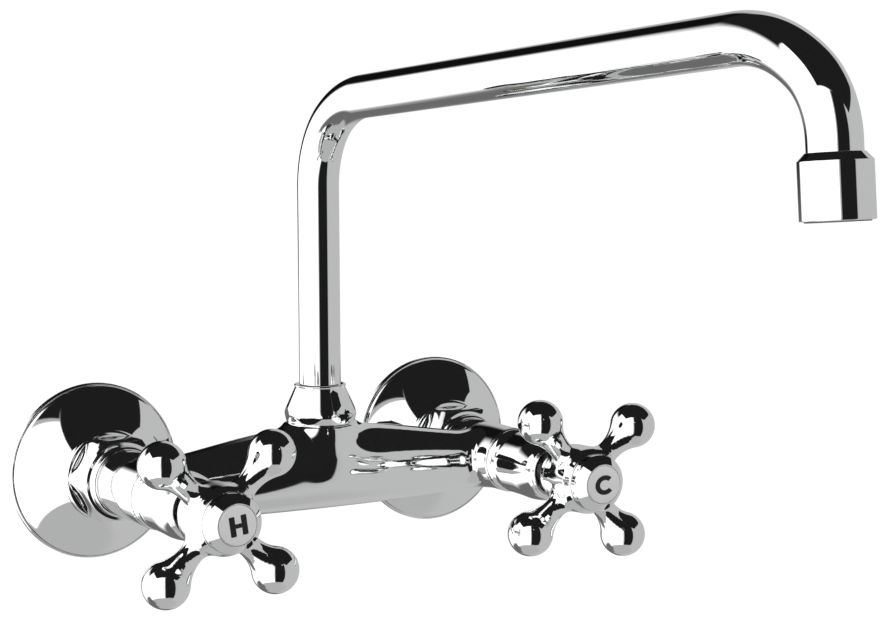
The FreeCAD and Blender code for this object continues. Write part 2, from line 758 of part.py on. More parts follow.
# ---------------------------------------------------------------- cross handle
def cross_handle(doc, label):
    """Hub with four club-shaped arms; each arm's waist runs into its ball without a corner."""
    body = new_body(doc, label)
    revolve(body, label + "_hub", [
        ("0", "handle_back"),
        ("handle_skirt_radius - 0.5", "handle_back"),
        ("handle_skirt_radius", "handle_back + 0.5"),
        ("handle_skirt_radius", "handle_back + 2.2", "4.6", -1),
        ("handle_radius - 0.3", "handle_back + 6.0"),
        ("handle_radius", "handle_back + 9.0"),
        ("handle_radius - 0.3", "handle_shoulder", "4.0", 1),
        ("handle_radius - 1.6", "handle_front"),
        ("0", "handle_front"),
    ])
    # The waist is an arc that touches the ball: its radius follows from the two.
    span = "(ball_reach - neck_reach)"
    waist = "((%s * %s + neck_radius * neck_radius - ball_radius * ball_radius)" % (span, span)
    waist += " / (2 * (ball_radius - neck_radius)))"
    far = "(%s + ball_radius)" % waist
    touch = ("ball_reach - %s * ball_radius / %s" % (span, far),
             "arm_depth + (neck_radius + %s) * ball_radius / %s" % (waist, far))
    root_reach = "7.5"
    root_drop = "(neck_reach - %s)" % root_reach
    root = (root_reach,
            "arm_depth + neck_radius + %s - sqrt(%s * %s - %s * %s)"
            % (waist, waist, waist, root_drop, root_drop))
    arm = revolve(body, label + "_arm", [
        (root_reach, "arm_depth"),
        ("ball_reach + ball_radius", "arm_depth", "ball_radius", 1),
        (touch[0], touch[1], waist, -1),
        (root[0], root[1]),
    ], axis_at=("y", "arm_depth"))
    pattern = body.newObject("PartDesign::PolarPattern", label + "_arms")
    pattern.Originals = [arm]
    pattern.Axis = (origin_axis(body), [""])
    pattern.Angle = 360.0
    pattern.Occurrences = 4
    body.Tip = pattern
    doc.recompute()
    hub_edge = value(doc.getObject("dims"), "neck_reach")
    blend(body, label + "_blend", "arm_blend",
          lambda box: max(abs(box.XMin), abs(box.XMax), abs(box.YMin), abs(box.YMax)) < hub_edge
          and box.DiagonalLength > 5.0)
    groove(body, label + "_recess", [
        ("0", "handle_front - recess_depth"),
        ("recess_radius", "handle_front - recess_depth"),
        ("recess_radius", "handle_front + 1"),
        ("0", "handle_front + 1"),
    ])
    pocket(body, label + "_socket", lambda s: draw_outline(s, rectangle("6.1", "6.1")),
           "handle_back - 1", "spindle_front - handle_back + 1.5")
    pocket(body, label + "_screw_hole", lambda s: draw_circle(s, "screw_radius + 0.2"),
           "spindle_front - 1", "20")
    return body


def origin_axis(body):
    """The body's own Z axis."""
    for feature in body.Origin.OriginFeatures:
        if feature.Role == "Z_Axis":
            return feature
    raise ValueError("Z_Axis")


def handle_screw(doc, label):
    """Pan head screw that holds the handle on the spindle."""
    body = new_body(doc, label)
    seat = "handle_front - recess_depth"
    revolve(body, label + "_turn", [
        ("0", "spindle_front - 9.0"),
        ("screw_radius - 0.6", "spindle_front - 9.0"),
        ("screw_radius - 0.05", "spindle_front - 8.4"),
        ("screw_radius - 0.05", seat),
        ("screw_head_radius", seat),
        ("screw_head_radius", seat + " + screw_head_height - 1.3", "2.0", 1),
        ("screw_head_radius - 1.6", seat + " + screw_head_height"),
        ("0", seat + " + screw_head_height"),
    ])
    pocket(body, label + "_slot", lambda s: draw_outline(s, rectangle("1.1", "10.0")),
           seat + " + screw_head_height - 1.3", "3.0")
    return body


def index_cap(doc, label):
    """Chromed cap that snaps into the handle and carries the index disc."""
    body = new_body(doc, label)
    revolve(body, label + "_turn", [
        ("0", "cap_front - cap_plug_length"),
        ("cap_plug_radius", "cap_front - cap_plug_length"),
        ("cap_plug_radius", "handle_front - 1.6"),
        ("recess_radius - 0.1", "handle_front - 1.6"),
        ("recess_radius - 0.1", "handle_front"),
        ("cap_radius", "handle_front"),
        ("cap_radius + 0.1", "handle_front + 0.6", "9.0", 1),
        ("index_radius + 1.2", "cap_front - 0.4", "0.6", 1),
        ("index_radius + 0.5", "cap_front"),
        ("index_radius + 0.1", "cap_front"),
        ("index_radius + 0.1", "cap_front - 1.3"),
        ("0", "cap_front - 1.3"),
    ])
    return body


def index_disc(doc, label):
    """Moulded index disc with a softened edge."""
    body = new_body(doc, label)
    revolve(body, label + "_turn", [
        ("0", "cap_front - 1.3"),
        ("index_radius", "cap_front - 1.3"),
        ("index_radius", "index_front - 0.7", "0.7", 1),
        ("index_radius - 0.7", "index_front"),
        ("0", "index_front"),
    ])
    return body


# ---------------------------------------------------------------- spout
def spout_tube(doc, label):
    """The bent tube: up the riser, out along the gently rising arm, and down to the outlet."""
    body = new_body(doc, label)
    rise = "(arm_rise * 1 deg)"
    turn = "(first_bend_turn * 1 deg)"
    corner = "(arm_height + arm_reach * tan%s)" % rise
    end = "(collar_top + 8.9)"
    # Out and up from the start of the first bend to where its arcs meet, and to its end.
    out_1 = "first_bend * (1 - cos%s)" % turn
    up_1 = "first_bend * sin%s" % turn
    out_2 = "(%s + first_sweep * (cos%s - sin%s))" % (out_1, turn, rise)
    up_2 = "(%s + first_sweep * (cos%s - sin%s))" % (up_1, rise, turn)
    foot = "(arm_height + %s * tan%s - %s)" % (out_2, rise, up_2)
    # Along the arm and square to it, back from the corner, for the second bend.
    turn = "(second_sweep_turn * 1 deg)"
    along_1 = "second_bend * (1 - sin%s)" % turn
    along_2 = "(second_sweep * sin%s + %s)" % (turn, along_1)
    down_1 = "second_sweep * (1 - cos%s)" % turn
    down_2 = "(%s + second_bend * cos%s)" % (down_1, turn)
    path = [
        ("0", "tube_foot"),
        ("0", foot, "first_bend", 1),
        ("-" + out_1, "%s + %s" % (foot, up_1), "first_sweep", 1),
        ("-" + out_2, "%s + %s" % (foot, up_2)),
        ("-arm_reach + %s * cos%s" % (along_2, rise), "%s - %s * sin%s" % (corner, along_2, rise),
         "second_sweep", 1),
        ("-arm_reach + %s * cos%s - %s * sin%s" % (along_1, rise, down_1, rise),
         "%s - %s * sin%s - %s * cos%s" % (corner, along_1, rise, down_1, rise), "second_bend", 1),
        ("-arm_reach - %s * sin%s" % (down_2, rise), "%s - %s * cos%s" % (corner, down_2, rise)),
        ("-arm_reach - %s * sin%s" % (end, rise), "%s - %s * cos%s" % (corner, end, rise)),
    ]
    route = new_sketch(body, label + "_route", "YZ_Plane")
    draw_outline(route, path, closed=False)
    section = new_sketch(body, label + "_section", "XY_Plane", "tube_foot")
    draw_circle(section, "tube_radius")
    draw_circle(section, "tube_bore")
    doc.recompute()
    pipe = body.newObject("PartDesign::AdditivePipe", label + "_pipe")
    pipe.Profile = section
    pipe.Spine = route
    doc.recompute()
    return body


def spout_ferrule(doc, label):
    """Turned swivel end, brazed to the tube, with two O-ring grooves and one for the split ring."""
    body = new_body(doc, label)
    outline = [("tube_bore - 0.4", "ferrule_foot"), ("ferrule_radius - 0.6", "ferrule_foot"),
               ("ferrule_radius", "ferrule_foot + 0.6")]
    seal_floor = "spout_oring_major - spout_oring_minor - 0.03"
    for start, end, floor in (("spout_inner_oring - 0.75", "spout_inner_oring + 0.75", seal_floor),
                              ("spout_outer_oring - 0.75", "spout_outer_oring + 0.75", seal_floor),
                              ("split_ring_foot - 0.1", "split_ring_top + 0.1", "split_ring_bore - 0.05")):
        outline += [("ferrule_radius", start), (floor, start), (floor, end), ("ferrule_radius", end)]
    outline += [("ferrule_radius", "ferrule_top"), ("tube_radius", "ferrule_top"),
                ("tube_radius", "tube_foot"), ("tube_bore - 0.4", "tube_foot")]
    revolve(body, label + "_turn", outline)
    return body


def spout_split_ring(doc, label):
    """Open ring that the spout nut traps above the nipple, so that the spout turns but can't lift."""
    body = new_body(doc, label)
    revolve(body, label + "_turn", [
        ("split_ring_bore", "split_ring_foot"),
        ("split_ring_radius", "split_ring_foot"),
        ("split_ring_radius", "split_ring_top"),
        ("split_ring_bore", "split_ring_top"),
    ])
    gap = [("-1.2", "6.0"), ("1.2", "6.0"), ("1.2", "12.0"), ("-1.2", "12.0")]
    pocket(body, label + "_gap", lambda s: draw_outline(s, gap), "split_ring_foot - 1.0",
           "split_ring_top - split_ring_foot + 2.0")
    return body


def spout_nut(doc, label):
    """Double-cone nut; six flats cut across its waist leave lens-shaped facets."""
    body = new_body(doc, label)
    revolve(body, label + "_turn", [
        ("nipple_radius + 0.05", "spout_nut_foot"),
        ("spout_nut_foot_radius", "spout_nut_foot"),
        ("spout_nut_radius - 0.25", "spout_nut_waist - 0.9", "1.6", 1),
        ("spout_nut_radius - 0.25", "spout_nut_waist + 0.9"),
        ("spout_nut_top_radius - 0.2", "spout_nut_top - 1.0"),
        ("spout_nut_top_radius + 0.1", "spout_nut_top - 0.6", "0.4", 1),
        ("spout_nut_top_radius - 0.3", "spout_nut_top"),
        ("spout_nut_top_radius - 0.9", "spout_nut_top"),
        ("tube_radius + 0.08", "spout_nut_top - 0.6"),
        ("tube_radius + 0.08", "ferrule_top + 0.4"),
        ("ferrule_radius + 0.3", "ferrule_top + 0.4"),
        ("ferrule_radius + 0.3", "split_ring_top + 0.3"),
        ("nipple_radius - 0.2", "split_ring_top + 0.3"),
        ("nipple_radius - 0.2", "nipple_top + 0.2"),
        ("nipple_radius + 0.05", "nipple_top + 0.2"),
    ])

    def outside_hexagon(sketch):
        draw_circle(sketch, "20.0")
        draw_outline(sketch, hexagon("spout_nut_flats"))

    pocket(body, label + "_flats", outside_hexagon, "spout_nut_foot - 1", "20")
    return body


# ---------------------------------------------------------------- outlet
def outlet_collar(doc, label):
    """Thick collar brazed round the end of the tube, threaded inside for the aerator."""
    body = new_body(doc, label)
    revolve(body, label + "_turn", [
        ("tube_radius", "collar_top"),
        ("tube_radius + 0.3", "collar_top"),
        ("collar_radius", "collar_shoulder"),
        ("collar_radius", "collar_foot - 0.4"),
        ("collar_radius - 0.4", "collar_foot"),
        ("outlet_thread", "collar_foot"),
        ("outlet_thread", "collar_top + 9.9"),
        ("tube_bore + 0.1", "collar_top + 9.9"),
        ("tube_bore + 0.1", "collar_top + 8.9"),
        ("tube_radius", "collar_top + 8.9"),
    ])
    return body


def aerator_housing(doc, label):
    """Screw-in insert with a step for the screens and two key notches in its rim."""
    body = new_body(doc, label)
    revolve(body, label + "_turn", [
        ("aerator_inside", "aerator_top"),
        ("outlet_thread - 0.05", "aerator_top"),
        ("outlet_thread - 0.05", "collar_foot"),
        ("outlet_thread - 0.45", "collar_foot + 0.4"),
        ("outlet_bore", "collar_foot + 0.4"),
        ("outlet_bore", "aerator_step"),
        ("aerator_inside", "aerator_step"),
    ])
    notch = [("-1.5", "-12.0"), ("1.5", "-12.0"), ("1.5", "12.0"), ("-1.5", "12.0")]
    pocket(body, label + "_notches", lambda s: draw_outline(s, notch), "collar_foot - 0.7", "3.0")
    return body


def perforated_disc(doc, label, radius, start, thickness, hole, rings):
    """Round plate with rings of holes; rings is a list of (distance, count)."""
    body = new_body(doc, label)
    pad_circle(body, label + "_plate", radius, start, thickness)
    sketch = new_sketch(body, label + "_holes_sketch", "XY_Plane", start + " - 1")
    for distance, count in rings:
        for step in range(count):
            angle = 360.0 / count * step
            draw_circle(sketch, hole, ("%s * cos(%.3f deg)" % (distance, angle),
                                       "%s * sin(%.3f deg)" % (distance, angle)))
    before = body.Shape.Volume
    holes = body.newObject("PartDesign::Pocket", label + "_holes")
    holes.Profile = sketch
    holes.setExpression("Length", bound(thickness + " + 2"))
    holes.Reversed = True
    doc.recompute()
    if holes.Shape.Volume >= before:
        raise RuntimeError("%s has no holes" % label)
    return body


# ---------------------------------------------------------------- assembly
def valve_place(sheet, side):
    """A valve's axis: its own Z runs straight out of the wall."""
    sign = -1.0 if side == "hot" else 1.0
    base = Vector(sign * value(sheet, "inlet_spacing / 2"), 0, value(sheet, "offset_rise"))
    return Placement(base, Rotation(Vector(1, 0, 0), 90))


def build(doc):
    """Make every piece and put it in its place; the list of them is returned."""
    sheet = make_sheet(doc)
    rise = value(sheet, "offset_rise")
    pieces = []

    casting = faucet_body(doc, "faucet_body")
    casting.Placement = Placement(Vector(0, 0, rise), Rotation())
    pieces.append(casting)

    for side in ("hot", "cold"):
        place = valve_place(sheet, side)
        turn = value(sheet, side + "_angle")
        turned = place.multiply(Placement(Vector(), Rotation(Vector(0, 0, 1), turn)))
        for builder, name in ((inlet_union, "inlet_union"), (escutcheon, "escutcheon"),
                              (union_nut, "union_nut"), (tailpiece, "inlet_tailpiece"),
                              (valve_shroud, "valve_shroud")):
            piece = builder(doc, "%s_%s" % (name, side))
            piece.Placement = place
            pieces.append(piece)
        for name, outer, inner, start, end in (
                ("union_washer", "washer_radius", "washer_bore", "union_front", "union_front + washer_depth"),
                ("seat_seal", "8.2", "disc_port_radius", SEAL_BACK, FIXED_BACK),
                ("bonnet_seal", "bonnet_flange_radius", "cartridge_thread",
                 "tower_front", "tower_front + 0.8")):
            piece = ring(doc, "%s_%s" % (name, side), outer, inner, start, end)
            piece.Placement = place
            pieces.append(piece)
        seals = toroids(doc, "spindle_orings_" + side, "oring_major", "oring_minor",
                        ["inner_oring", "outer_oring"])
        seals.Placement = place
        pieces.append(seals)
        # The headwork is screwed in until tight, and the handle sits square on its spindle.
        for builder, name in ((fixed_disc, "fixed_disc"), (turning_disc, "turning_disc"),
                              (valve_bonnet, "valve_bonnet"), (valve_spindle, "spindle"),
                              (spindle_clip, "spindle_clip"), (cross_handle, "cross_handle"),
                              (handle_screw, "handle_screw"), (index_cap, "index_cap"),
                              (index_disc, "index_disc")):
            piece = builder(doc, "%s_%s" % (name, side))
            piece.Placement = turned
            pieces.append(piece)

    upright = Placement(Vector(0, -value(sheet, "spout_out"), rise), Rotation())
    for builder, name in ((spout_tube, "spout_tube"), (spout_ferrule, "spout_ferrule"),
                          (spout_split_ring, "spout_split_ring")):
        piece = builder(doc, name)
        piece.Placement = upright
        pieces.append(piece)
    nut = spout_nut(doc, "spout_nut")
    nut_turn = Rotation(Vector(0, 0, 1), value(sheet, "spout_nut_turn"))
    nut.Placement = upright.multiply(Placement(Vector(), nut_turn))
    seals = toroids(doc, "spout_orings", "spout_oring_major", "spout_oring_minor",
                    ["spout_inner_oring", "spout_outer_oring"])
    seals.Placement = upright
    pieces += [nut, seals]

    corner_height = value(sheet, "arm_height + arm_reach * tan(arm_rise * 1 deg)")
    corner = Vector(0, -value(sheet, "spout_out + arm_reach"), rise + corner_height)
    outlet = Placement(corner, Rotation(Vector(1, 0, 0), 180.0 - value(sheet, "arm_rise")))
    for piece in (outlet_collar(doc, "outlet_collar"), aerator_housing(doc, "aerator_housing"),
                  ring(doc, "aerator_gasket", "outlet_thread - 0.2", "6.9",
                       "collar_top + 9.9", "aerator_top"),
                  perforated_disc(doc, "aerator_diffuser", "sieve_radius", "diffuser_top", "1.2", "0.5",
                                  [("3.4", 6), ("6.2", 12)]),
                  perforated_disc(doc, "aerator_screen", "sieve_radius", "screen_top", "0.7", "0.75",
                                  [("0", 1), ("2.4", 6), ("4.8", 12)])):
        piece.Placement = outlet
        pieces.append(piece)
    doc.recompute()
    return pieces


def check(doc, pieces):
    """Stop before anything is written if an object failed or a shape is not sound."""
    for thing in doc.Objects:
        if "Invalid" in thing.State or "Error" in thing.State:
            raise RuntimeError("%s failed: %s" % (thing.Label, thing.State))
    for piece in pieces:
        shape = piece.Shape
        if shape.isNull() or not shape.isValid() or not shape.Solids:
            raise RuntimeError("%s has no sound solid" % piece.Label)


def export(pieces):
    """One STEP file a piece, named by its label."""
    os.makedirs("parts", exist_ok=True)
    for piece in pieces:
        piece.Shape.exportStep("parts/%s.step" % piece.Label)


def main():
    doc = FreeCAD.newDocument("kitchen_faucet")
    pieces = build(doc)
    check(doc, pieces)
    export(pieces)
    print("%d pieces" % len(pieces))


main()
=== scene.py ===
"""Looks of the two handle wall faucet: polished chrome pieces on a pale studio floor."""
import bpy
import bmesh
import math
import numpy as np
from mathutils import Matrix, Vector


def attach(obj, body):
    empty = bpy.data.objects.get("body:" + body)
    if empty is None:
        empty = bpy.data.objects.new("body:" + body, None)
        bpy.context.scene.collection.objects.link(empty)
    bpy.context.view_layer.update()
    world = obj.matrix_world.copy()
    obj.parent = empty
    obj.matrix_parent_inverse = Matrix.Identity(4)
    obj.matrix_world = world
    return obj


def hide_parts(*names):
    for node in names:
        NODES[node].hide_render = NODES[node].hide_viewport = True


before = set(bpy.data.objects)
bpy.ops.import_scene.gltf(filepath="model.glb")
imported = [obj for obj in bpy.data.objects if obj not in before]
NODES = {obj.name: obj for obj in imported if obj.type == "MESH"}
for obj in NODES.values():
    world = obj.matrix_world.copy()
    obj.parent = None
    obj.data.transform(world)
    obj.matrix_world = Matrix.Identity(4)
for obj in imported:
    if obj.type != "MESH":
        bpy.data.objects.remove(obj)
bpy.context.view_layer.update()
SIDES = {"hot": -0.075, "cold": 0.075}

# Sizes that several pieces share. Places are in metres, and sizes of pieces in millimetres.
RISE = 0.007                  # the valves' axes above the wall tails' axes
SPOUT_Y = -0.0465             # the spout's axis, out from the wall
REACH = 305.0                 # the arm's corner, out from the spout's axis
ARM_HEIGHT = 141.0            # the arm's centre line above the valves' axes, at the spout's axis
SLOPE = math.radians(5.0)     # the arm's slope
TUBE_RADIUS, BORE_RADIUS = 7.98, 7.0
HOT_TURN, COLD_TURN = 46.0, 39.0      # how far each handle's arms are turned, in degrees
BRIDGE_REACH = 71.0
# The bridge's half width, half height and middle at the crown, half way out and at its end.
BRIDGE_OVALS = [(16.4, 16.2, 1.6), (13.9, 14.5, 0.2), (10.4, 10.6, -1.3)]

# The photograph's frame and the camera that was fitted to it.
PHOTO = (893, 621)
FOCAL_PIXELS = 2455.2
SENSOR = 36.0


def link(thing):
    bpy.context.scene.collection.objects.link(thing)


def place_camera():
    """The camera, left of the faucet and a little above it, looks back at the wall."""
    azimuth, rise, roll = math.radians(30.133), math.radians(6.137), math.radians(-0.25)
    back = Vector((-math.sin(azimuth) * math.cos(rise), -math.cos(azimuth) * math.cos(rise), math.sin(rise)))
    right = Vector((math.cos(azimuth), -math.sin(azimuth), 0.0))
    up = back.cross(right)
    c, s = math.cos(roll), math.sin(roll)
    turned_right = c * right + s * up
    turned_up = -s * right + c * up
    data = bpy.data.cameras.new("photo_camera")
    data.sensor_fit = "HORIZONTAL"
    data.sensor_width = SENSOR
    data.lens = FOCAL_PIXELS / PHOTO[0] * SENSOR
    data.clip_start = 0.01
    camera = bpy.data.objects.new("photo_camera", data)
    axes = Matrix((turned_right, turned_up, back)).transposed().to_4x4()
    camera.matrix_world = Matrix.Translation((-0.427362, -0.87981, 0.169231)) @ axes
    link(camera)
    bpy.context.scene.camera = camera


# ---------------------------------------------------------------- node helpers
class Sheet:
    """Short hand for putting nodes on a node tree and joining them."""

    def __init__(self, tree):
        self.tree = tree
        tree.nodes.clear()

    def add(self, kind, inputs=(), **settings):
        node = self.tree.nodes.new(kind)
        for name, setting in settings.items():
            setattr(node, name, setting)
        for socket, wanted in dict(inputs).items():
            if isinstance(wanted, bpy.types.NodeSocket):
                self.tree.links.new(wanted, node.inputs[socket])
            else:
                node.inputs[socket].default_value = wanted
        return node

    def math(self, operation, first, second=0.0, third=0.0):
        node = self.add("ShaderNodeMath", {0: first, 1: second, 2: third}, operation=operation)
        return node.outputs[0]

    def between(self, value, low, high, soft):
        """1 where value lies between low and high, fading over soft on either side."""
        rising = self.add("ShaderNodeMapRange", {"Value": value, "From Min": low - soft,
                                                 "From Max": low + soft},
                          interpolation_type="SMOOTHSTEP").outputs[0]
        falling = self.add("ShaderNodeMapRange", {"Value": value, "From Min": high - soft,
                                                  "From Max": high + soft, "To Min": 1.0, "To Max": 0.0},
                           interpolation_type="SMOOTHSTEP").outputs[0]
        return self.math("MULTIPLY", rising, falling)

    def mix(self, share, first, second):
        """The first colour, changing to the second by share."""
        node = self.add("ShaderNodeMix", {0: share, 6: first, 7: second}, data_type="RGBA")
        return node.outputs[2]

    def surface(self, inputs):
        """The shader with these inputs, as the material's surface."""
        shader = self.add("ShaderNodeBsdfPrincipled", inputs)
        self.add("ShaderNodeOutputMaterial", {"Surface": shader.outputs[0]})


def grey(level):
    return (level, level, level, 1.0)


# ---------------------------------------------------------------- studio
# What the chrome mirrors. Azimuth in degrees from straight out of the wall, towards the right, and
# elevation above level. A panel is (azimuths, elevations, softness across, softness up, brightness);
# a later one covers an earlier one.
STUDIO_PANELS = [
    ((-180, 180), (-90, 90), 1.0, 1.0, 0.46),       # the room
    ((24, 150), (-60, 60), 10.0, 6.0, 0.52),        # its right wall
    ((95, 200), (42, 62), 6.0, 6.0, 0.012),         # dark high up behind
    ((-195, 195), (60, 90), 1.0, 5.0, 0.012),       # and overhead
    ((-195, -95), (28, 80), 4.0, 6.0, 0.012),       # and above the boxes
    ((-172, -118), (-34, 27), 5.0, 7.0, 1.35),      # soft box behind on the left
    ((-128, -30), (-48, 49), 1.0, 1.0, 1.35),       # soft box on the left
    ((-26, 22), (-48, 49), 1.0, 1.0, 0.012),        # black flag in front
    ((156, 190), (-6, 60), 4.0, 3.0, 0.005),        # dark corner behind on the right
    ((-190, -170), (-6, 60), 5.0, 3.0, 0.005),
    ((150, 190), (-50, -6), 6.0, 3.0, 0.15),        # the floor towards the wall
    ((-190, -120), (-60, -34), 4.0, 3.0, 0.15),
]
CEILING_FLAG = ((-0.95, 1.9), (-0.85, 1.25), 0.02, 0.012)   # across and away, for each metre of height


def new_material(name):
    """An empty material and the sheet of its nodes."""
    material = bpy.data.materials.new(name)
    material.use_nodes = True
    return material, Sheet(material.node_tree)


def studio_world():
    """White to the camera, plain soft light on everything, and the studio's panels in mirrors."""
    world = bpy.data.worlds.new("studio")
    world.use_nodes = True
    bpy.context.scene.world = world
    sheet = Sheet(world.node_tree)
    way = sheet.add("ShaderNodeTexCoord").outputs["Generated"]
    parts = sheet.add("ShaderNodeSeparateXYZ", {0: way})
    ahead = sheet.math("MULTIPLY", parts.outputs[1], -1.0)
    azimuth = sheet.math("DEGREES", sheet.math("ARCTAN2", parts.outputs[0], ahead))
    rise = sheet.math("DEGREES", sheet.math("ARCSINE", parts.outputs[2]))
    shade = grey(STUDIO_PANELS[0][4])
    for azimuths, rises, soft, soft_up, level in STUDIO_PANELS[1:]:
        share = sheet.math("MULTIPLY", sheet.between(azimuth, *azimuths, soft),
                           sheet.between(rise, *rises, soft_up))
        shade = sheet.mix(share, shade, grey(level))
    height = sheet.math("MAXIMUM", parts.outputs[2], 0.05)
    turned = sheet.add("ShaderNodeVectorRotate", {"Vector": way, "Angle": math.radians(30)},
                       rotation_type="Z_AXIS")
    flat = sheet.add("ShaderNodeSeparateXYZ", {0: turned.outputs[0]})
    across, away, soft, level = CEILING_FLAG
    share = sheet.math("MULTIPLY",
                       sheet.between(sheet.math("DIVIDE", flat.outputs[0], height), *across, soft),
                       sheet.between(sheet.math("DIVIDE", flat.outputs[1], height), *away, soft))
    share = sheet.math("MULTIPLY", share, sheet.math("GREATER_THAN", parts.outputs[2], 0.3))
    shade = sheet.mix(share, shade, grey(level))
    path = sheet.add("ShaderNodeLightPath")
    lit = sheet.mix(path.outputs["Is Glossy Ray"], grey(0.9), shade)
    lit = sheet.mix(path.outputs["Is Camera Ray"], lit, grey(1.0))
    background = sheet.add("ShaderNodeBackground", {"Color": lit, "Strength": 1.0})
    sheet.add("ShaderNodeOutputWorld", {"Surface": background.outputs[0]})


def studio_floor():
    """A pale floor well below the faucet, white to the camera, with the faucet's soft shadow on it."""
    mesh = bpy.data.meshes.new("floor")
    mesh.from_pydata([(-9, -9, -0.3), (9, -9, -0.3), (9, 9, -0.3), (-9, 9, -0.3)], [], [(0, 1, 2, 3)])
    floor = bpy.data.objects.new("floor", mesh)
    link(floor)
    material, sheet = new_material("pale_floor")
    path = sheet.add("ShaderNodeLightPath")
    shade = sheet.mix(path.outputs["Is Camera Ray"], grey(0.6), grey(0.93))
    plain = sheet.add("ShaderNodeBsdfDiffuse", {"Color": shade})
    lift = sheet.math("MULTIPLY", path.outputs["Is Camera Ray"], 0.2)
    glow = sheet.add("ShaderNodeEmission", {"Color": grey(1.0), "Strength": lift})
    both = sheet.add("ShaderNodeAddShader", {0: plain.outputs[0], 1: glow.outputs[0]})
    sheet.add("ShaderNodeOutputMaterial", {"Surface": both.outputs[0]})
    mesh.materials.append(material)
    floor.visible_glossy = False


# ---------------------------------------------------------------- finishes
def new_group(name, inputs, outputs):
    """An empty shader node group with named number and vector sockets."""
    group = bpy.data.node_groups.new(name, "ShaderNodeTree")
    for side, sockets in (("INPUT", inputs), ("OUTPUT", outputs)):
        for label, kind, start in sockets:
            socket = group.interface.new_socket(name=label, in_out=side, socket_type=kind)
            if start is not None:
                socket.default_value = start
    return group


def polish_group():
    """Buffed metal: a faint haze in the gloss, and the very slight waves that buffing leaves."""
    group = new_group("buffed_polish",
                      [("Roughness", "NodeSocketFloat", 0.03), ("Haze", "NodeSocketFloat", 0.3),
                       ("Waves", "NodeSocketFloat", 0.0), ("Wave Size", "NodeSocketFloat", 14.0)],
                      [("Roughness", "NodeSocketFloat", None), ("Normal", "NodeSocketVector", None)])
    sheet = Sheet(group)
    given = sheet.add("NodeGroupInput")
    where = sheet.add("ShaderNodeTexCoord").outputs["Object"]
    cloud = sheet.add("ShaderNodeTexNoise", {"Vector": where, "Scale": 70.0, "Detail": 4.0})
    swing = sheet.math("MULTIPLY", sheet.math("SUBTRACT", cloud.outputs[0], 0.5), given.outputs["Haze"])
    rough = sheet.math("MULTIPLY", given.outputs["Roughness"], sheet.math("ADD", swing, 1.0))
    wave = sheet.add("ShaderNodeTexNoise", {"Vector": where, "Scale": given.outputs["Wave Size"],
                                            "Detail": 1.0})
    bump = sheet.add("ShaderNodeBump", {"Strength": given.outputs["Waves"], "Distance": 0.001,
                                        "Height": wave.outputs[0]})
    sheet.add("NodeGroupOutput", {0: rough, 1: bump.outputs[0]})
    return group


def plated(name, roughness, haze=0.4, waves=0.0, wave_size=14.0, tint=(0.93, 0.935, 0.94)):
    """Chrome plate over a buffed surface."""
    material, sheet = new_material(name)
    buffed = sheet.add("ShaderNodeGroup", node_tree=POLISH)
    for label, number in (("Roughness", roughness), ("Haze", haze), ("Waves", waves),
                          ("Wave Size", wave_size)):
        buffed.inputs[label].default_value = number
    sheet.surface({"Base Color": (*tint, 1.0), "Metallic": 1.0, "Roughness": buffed.outputs["Roughness"],
                   "Normal": buffed.outputs["Normal"]})
    return material


def turned_metal(name, tint, roughness):
    """Bare metal with the fine rings that a lathe tool leaves."""
    material, sheet = new_material(name)
    where = sheet.add("ShaderNodeTexCoord").outputs["Object"]
    rings = sheet.add("ShaderNodeTexWave", {"Vector": where, "Scale": 600.0, "Distortion": 1.5,
                                            "Detail": 2.0}, bands_direction="Y")
    tarnish = sheet.add("ShaderNodeTexNoise", {"Vector": where, "Scale": 120.0, "Detail": 5.0})
    shade = sheet.mix(tarnish.outputs[0], (*[0.72 * t for t in tint], 1.0), (*tint, 1.0))
    rough = sheet.add("ShaderNodeMapRange", {"Value": rings.outputs[1], "To Min": roughness * 0.8,
                                             "To Max": roughness * 1.3})
    bump = sheet.add("ShaderNodeBump", {"Strength": 0.12, "Distance": 0.0002, "Height": rings.outputs[1]})
    sheet.surface({"Base Color": shade, "Metallic": 1.0, "Roughness": rough.outputs[0],
                   "Normal": bump.outputs[0]})
    return material


def moulded(name, colour, roughness, mottle=0.08, grain=900.0):
    """Plastic, rubber, fibre or ceramic: a fine grain and a slight unevenness of colour."""
    material, sheet = new_material(name)
    where = sheet.add("ShaderNodeTexCoord").outputs["Object"]
    cloud = sheet.add("ShaderNodeTexNoise", {"Vector": where, "Scale": 160.0, "Detail": 4.0})
    shade = sheet.mix(cloud.outputs[0], (*[c * (1.0 - mottle) for c in colour], 1.0),
                      (*[min(1.0, c * (1.0 + mottle)) for c in colour], 1.0))
    fine = sheet.add("ShaderNodeTexNoise", {"Vector": where, "Scale": grain, "Detail": 2.0})
    rough = sheet.add("ShaderNodeMapRange", {"Value": fine.outputs[0], "To Min": roughness * 0.85,
                                             "To Max": roughness * 1.15})
    bump = sheet.add("ShaderNodeBump", {"Strength": 0.08, "Distance": 0.0002, "Height": fine.outputs[0]})
    sheet.surface({"Base Color": shade, "Roughness": rough.outputs[0], "Normal": bump.outputs[0]})
    return material


# ---------------------------------------------------------------- mesh helpers
def valve_frame(side, turn=0.0):
    """From a valve's own axes, with Z out of the wall, to the faucet's frame; millimetres to metres."""
    turned = Matrix.Rotation(math.radians(turn), 4, "Z")
    outward = Matrix.Rotation(math.radians(90), 4, "X")
    return Matrix.Translation((SIDES[side], 0.0, RISE)) @ outward @ turned @ Matrix.Scale(0.001, 4)


def spout_frame():
    return Matrix.Translation((0.0, SPOUT_Y, RISE)) @ Matrix.Scale(0.001, 4)


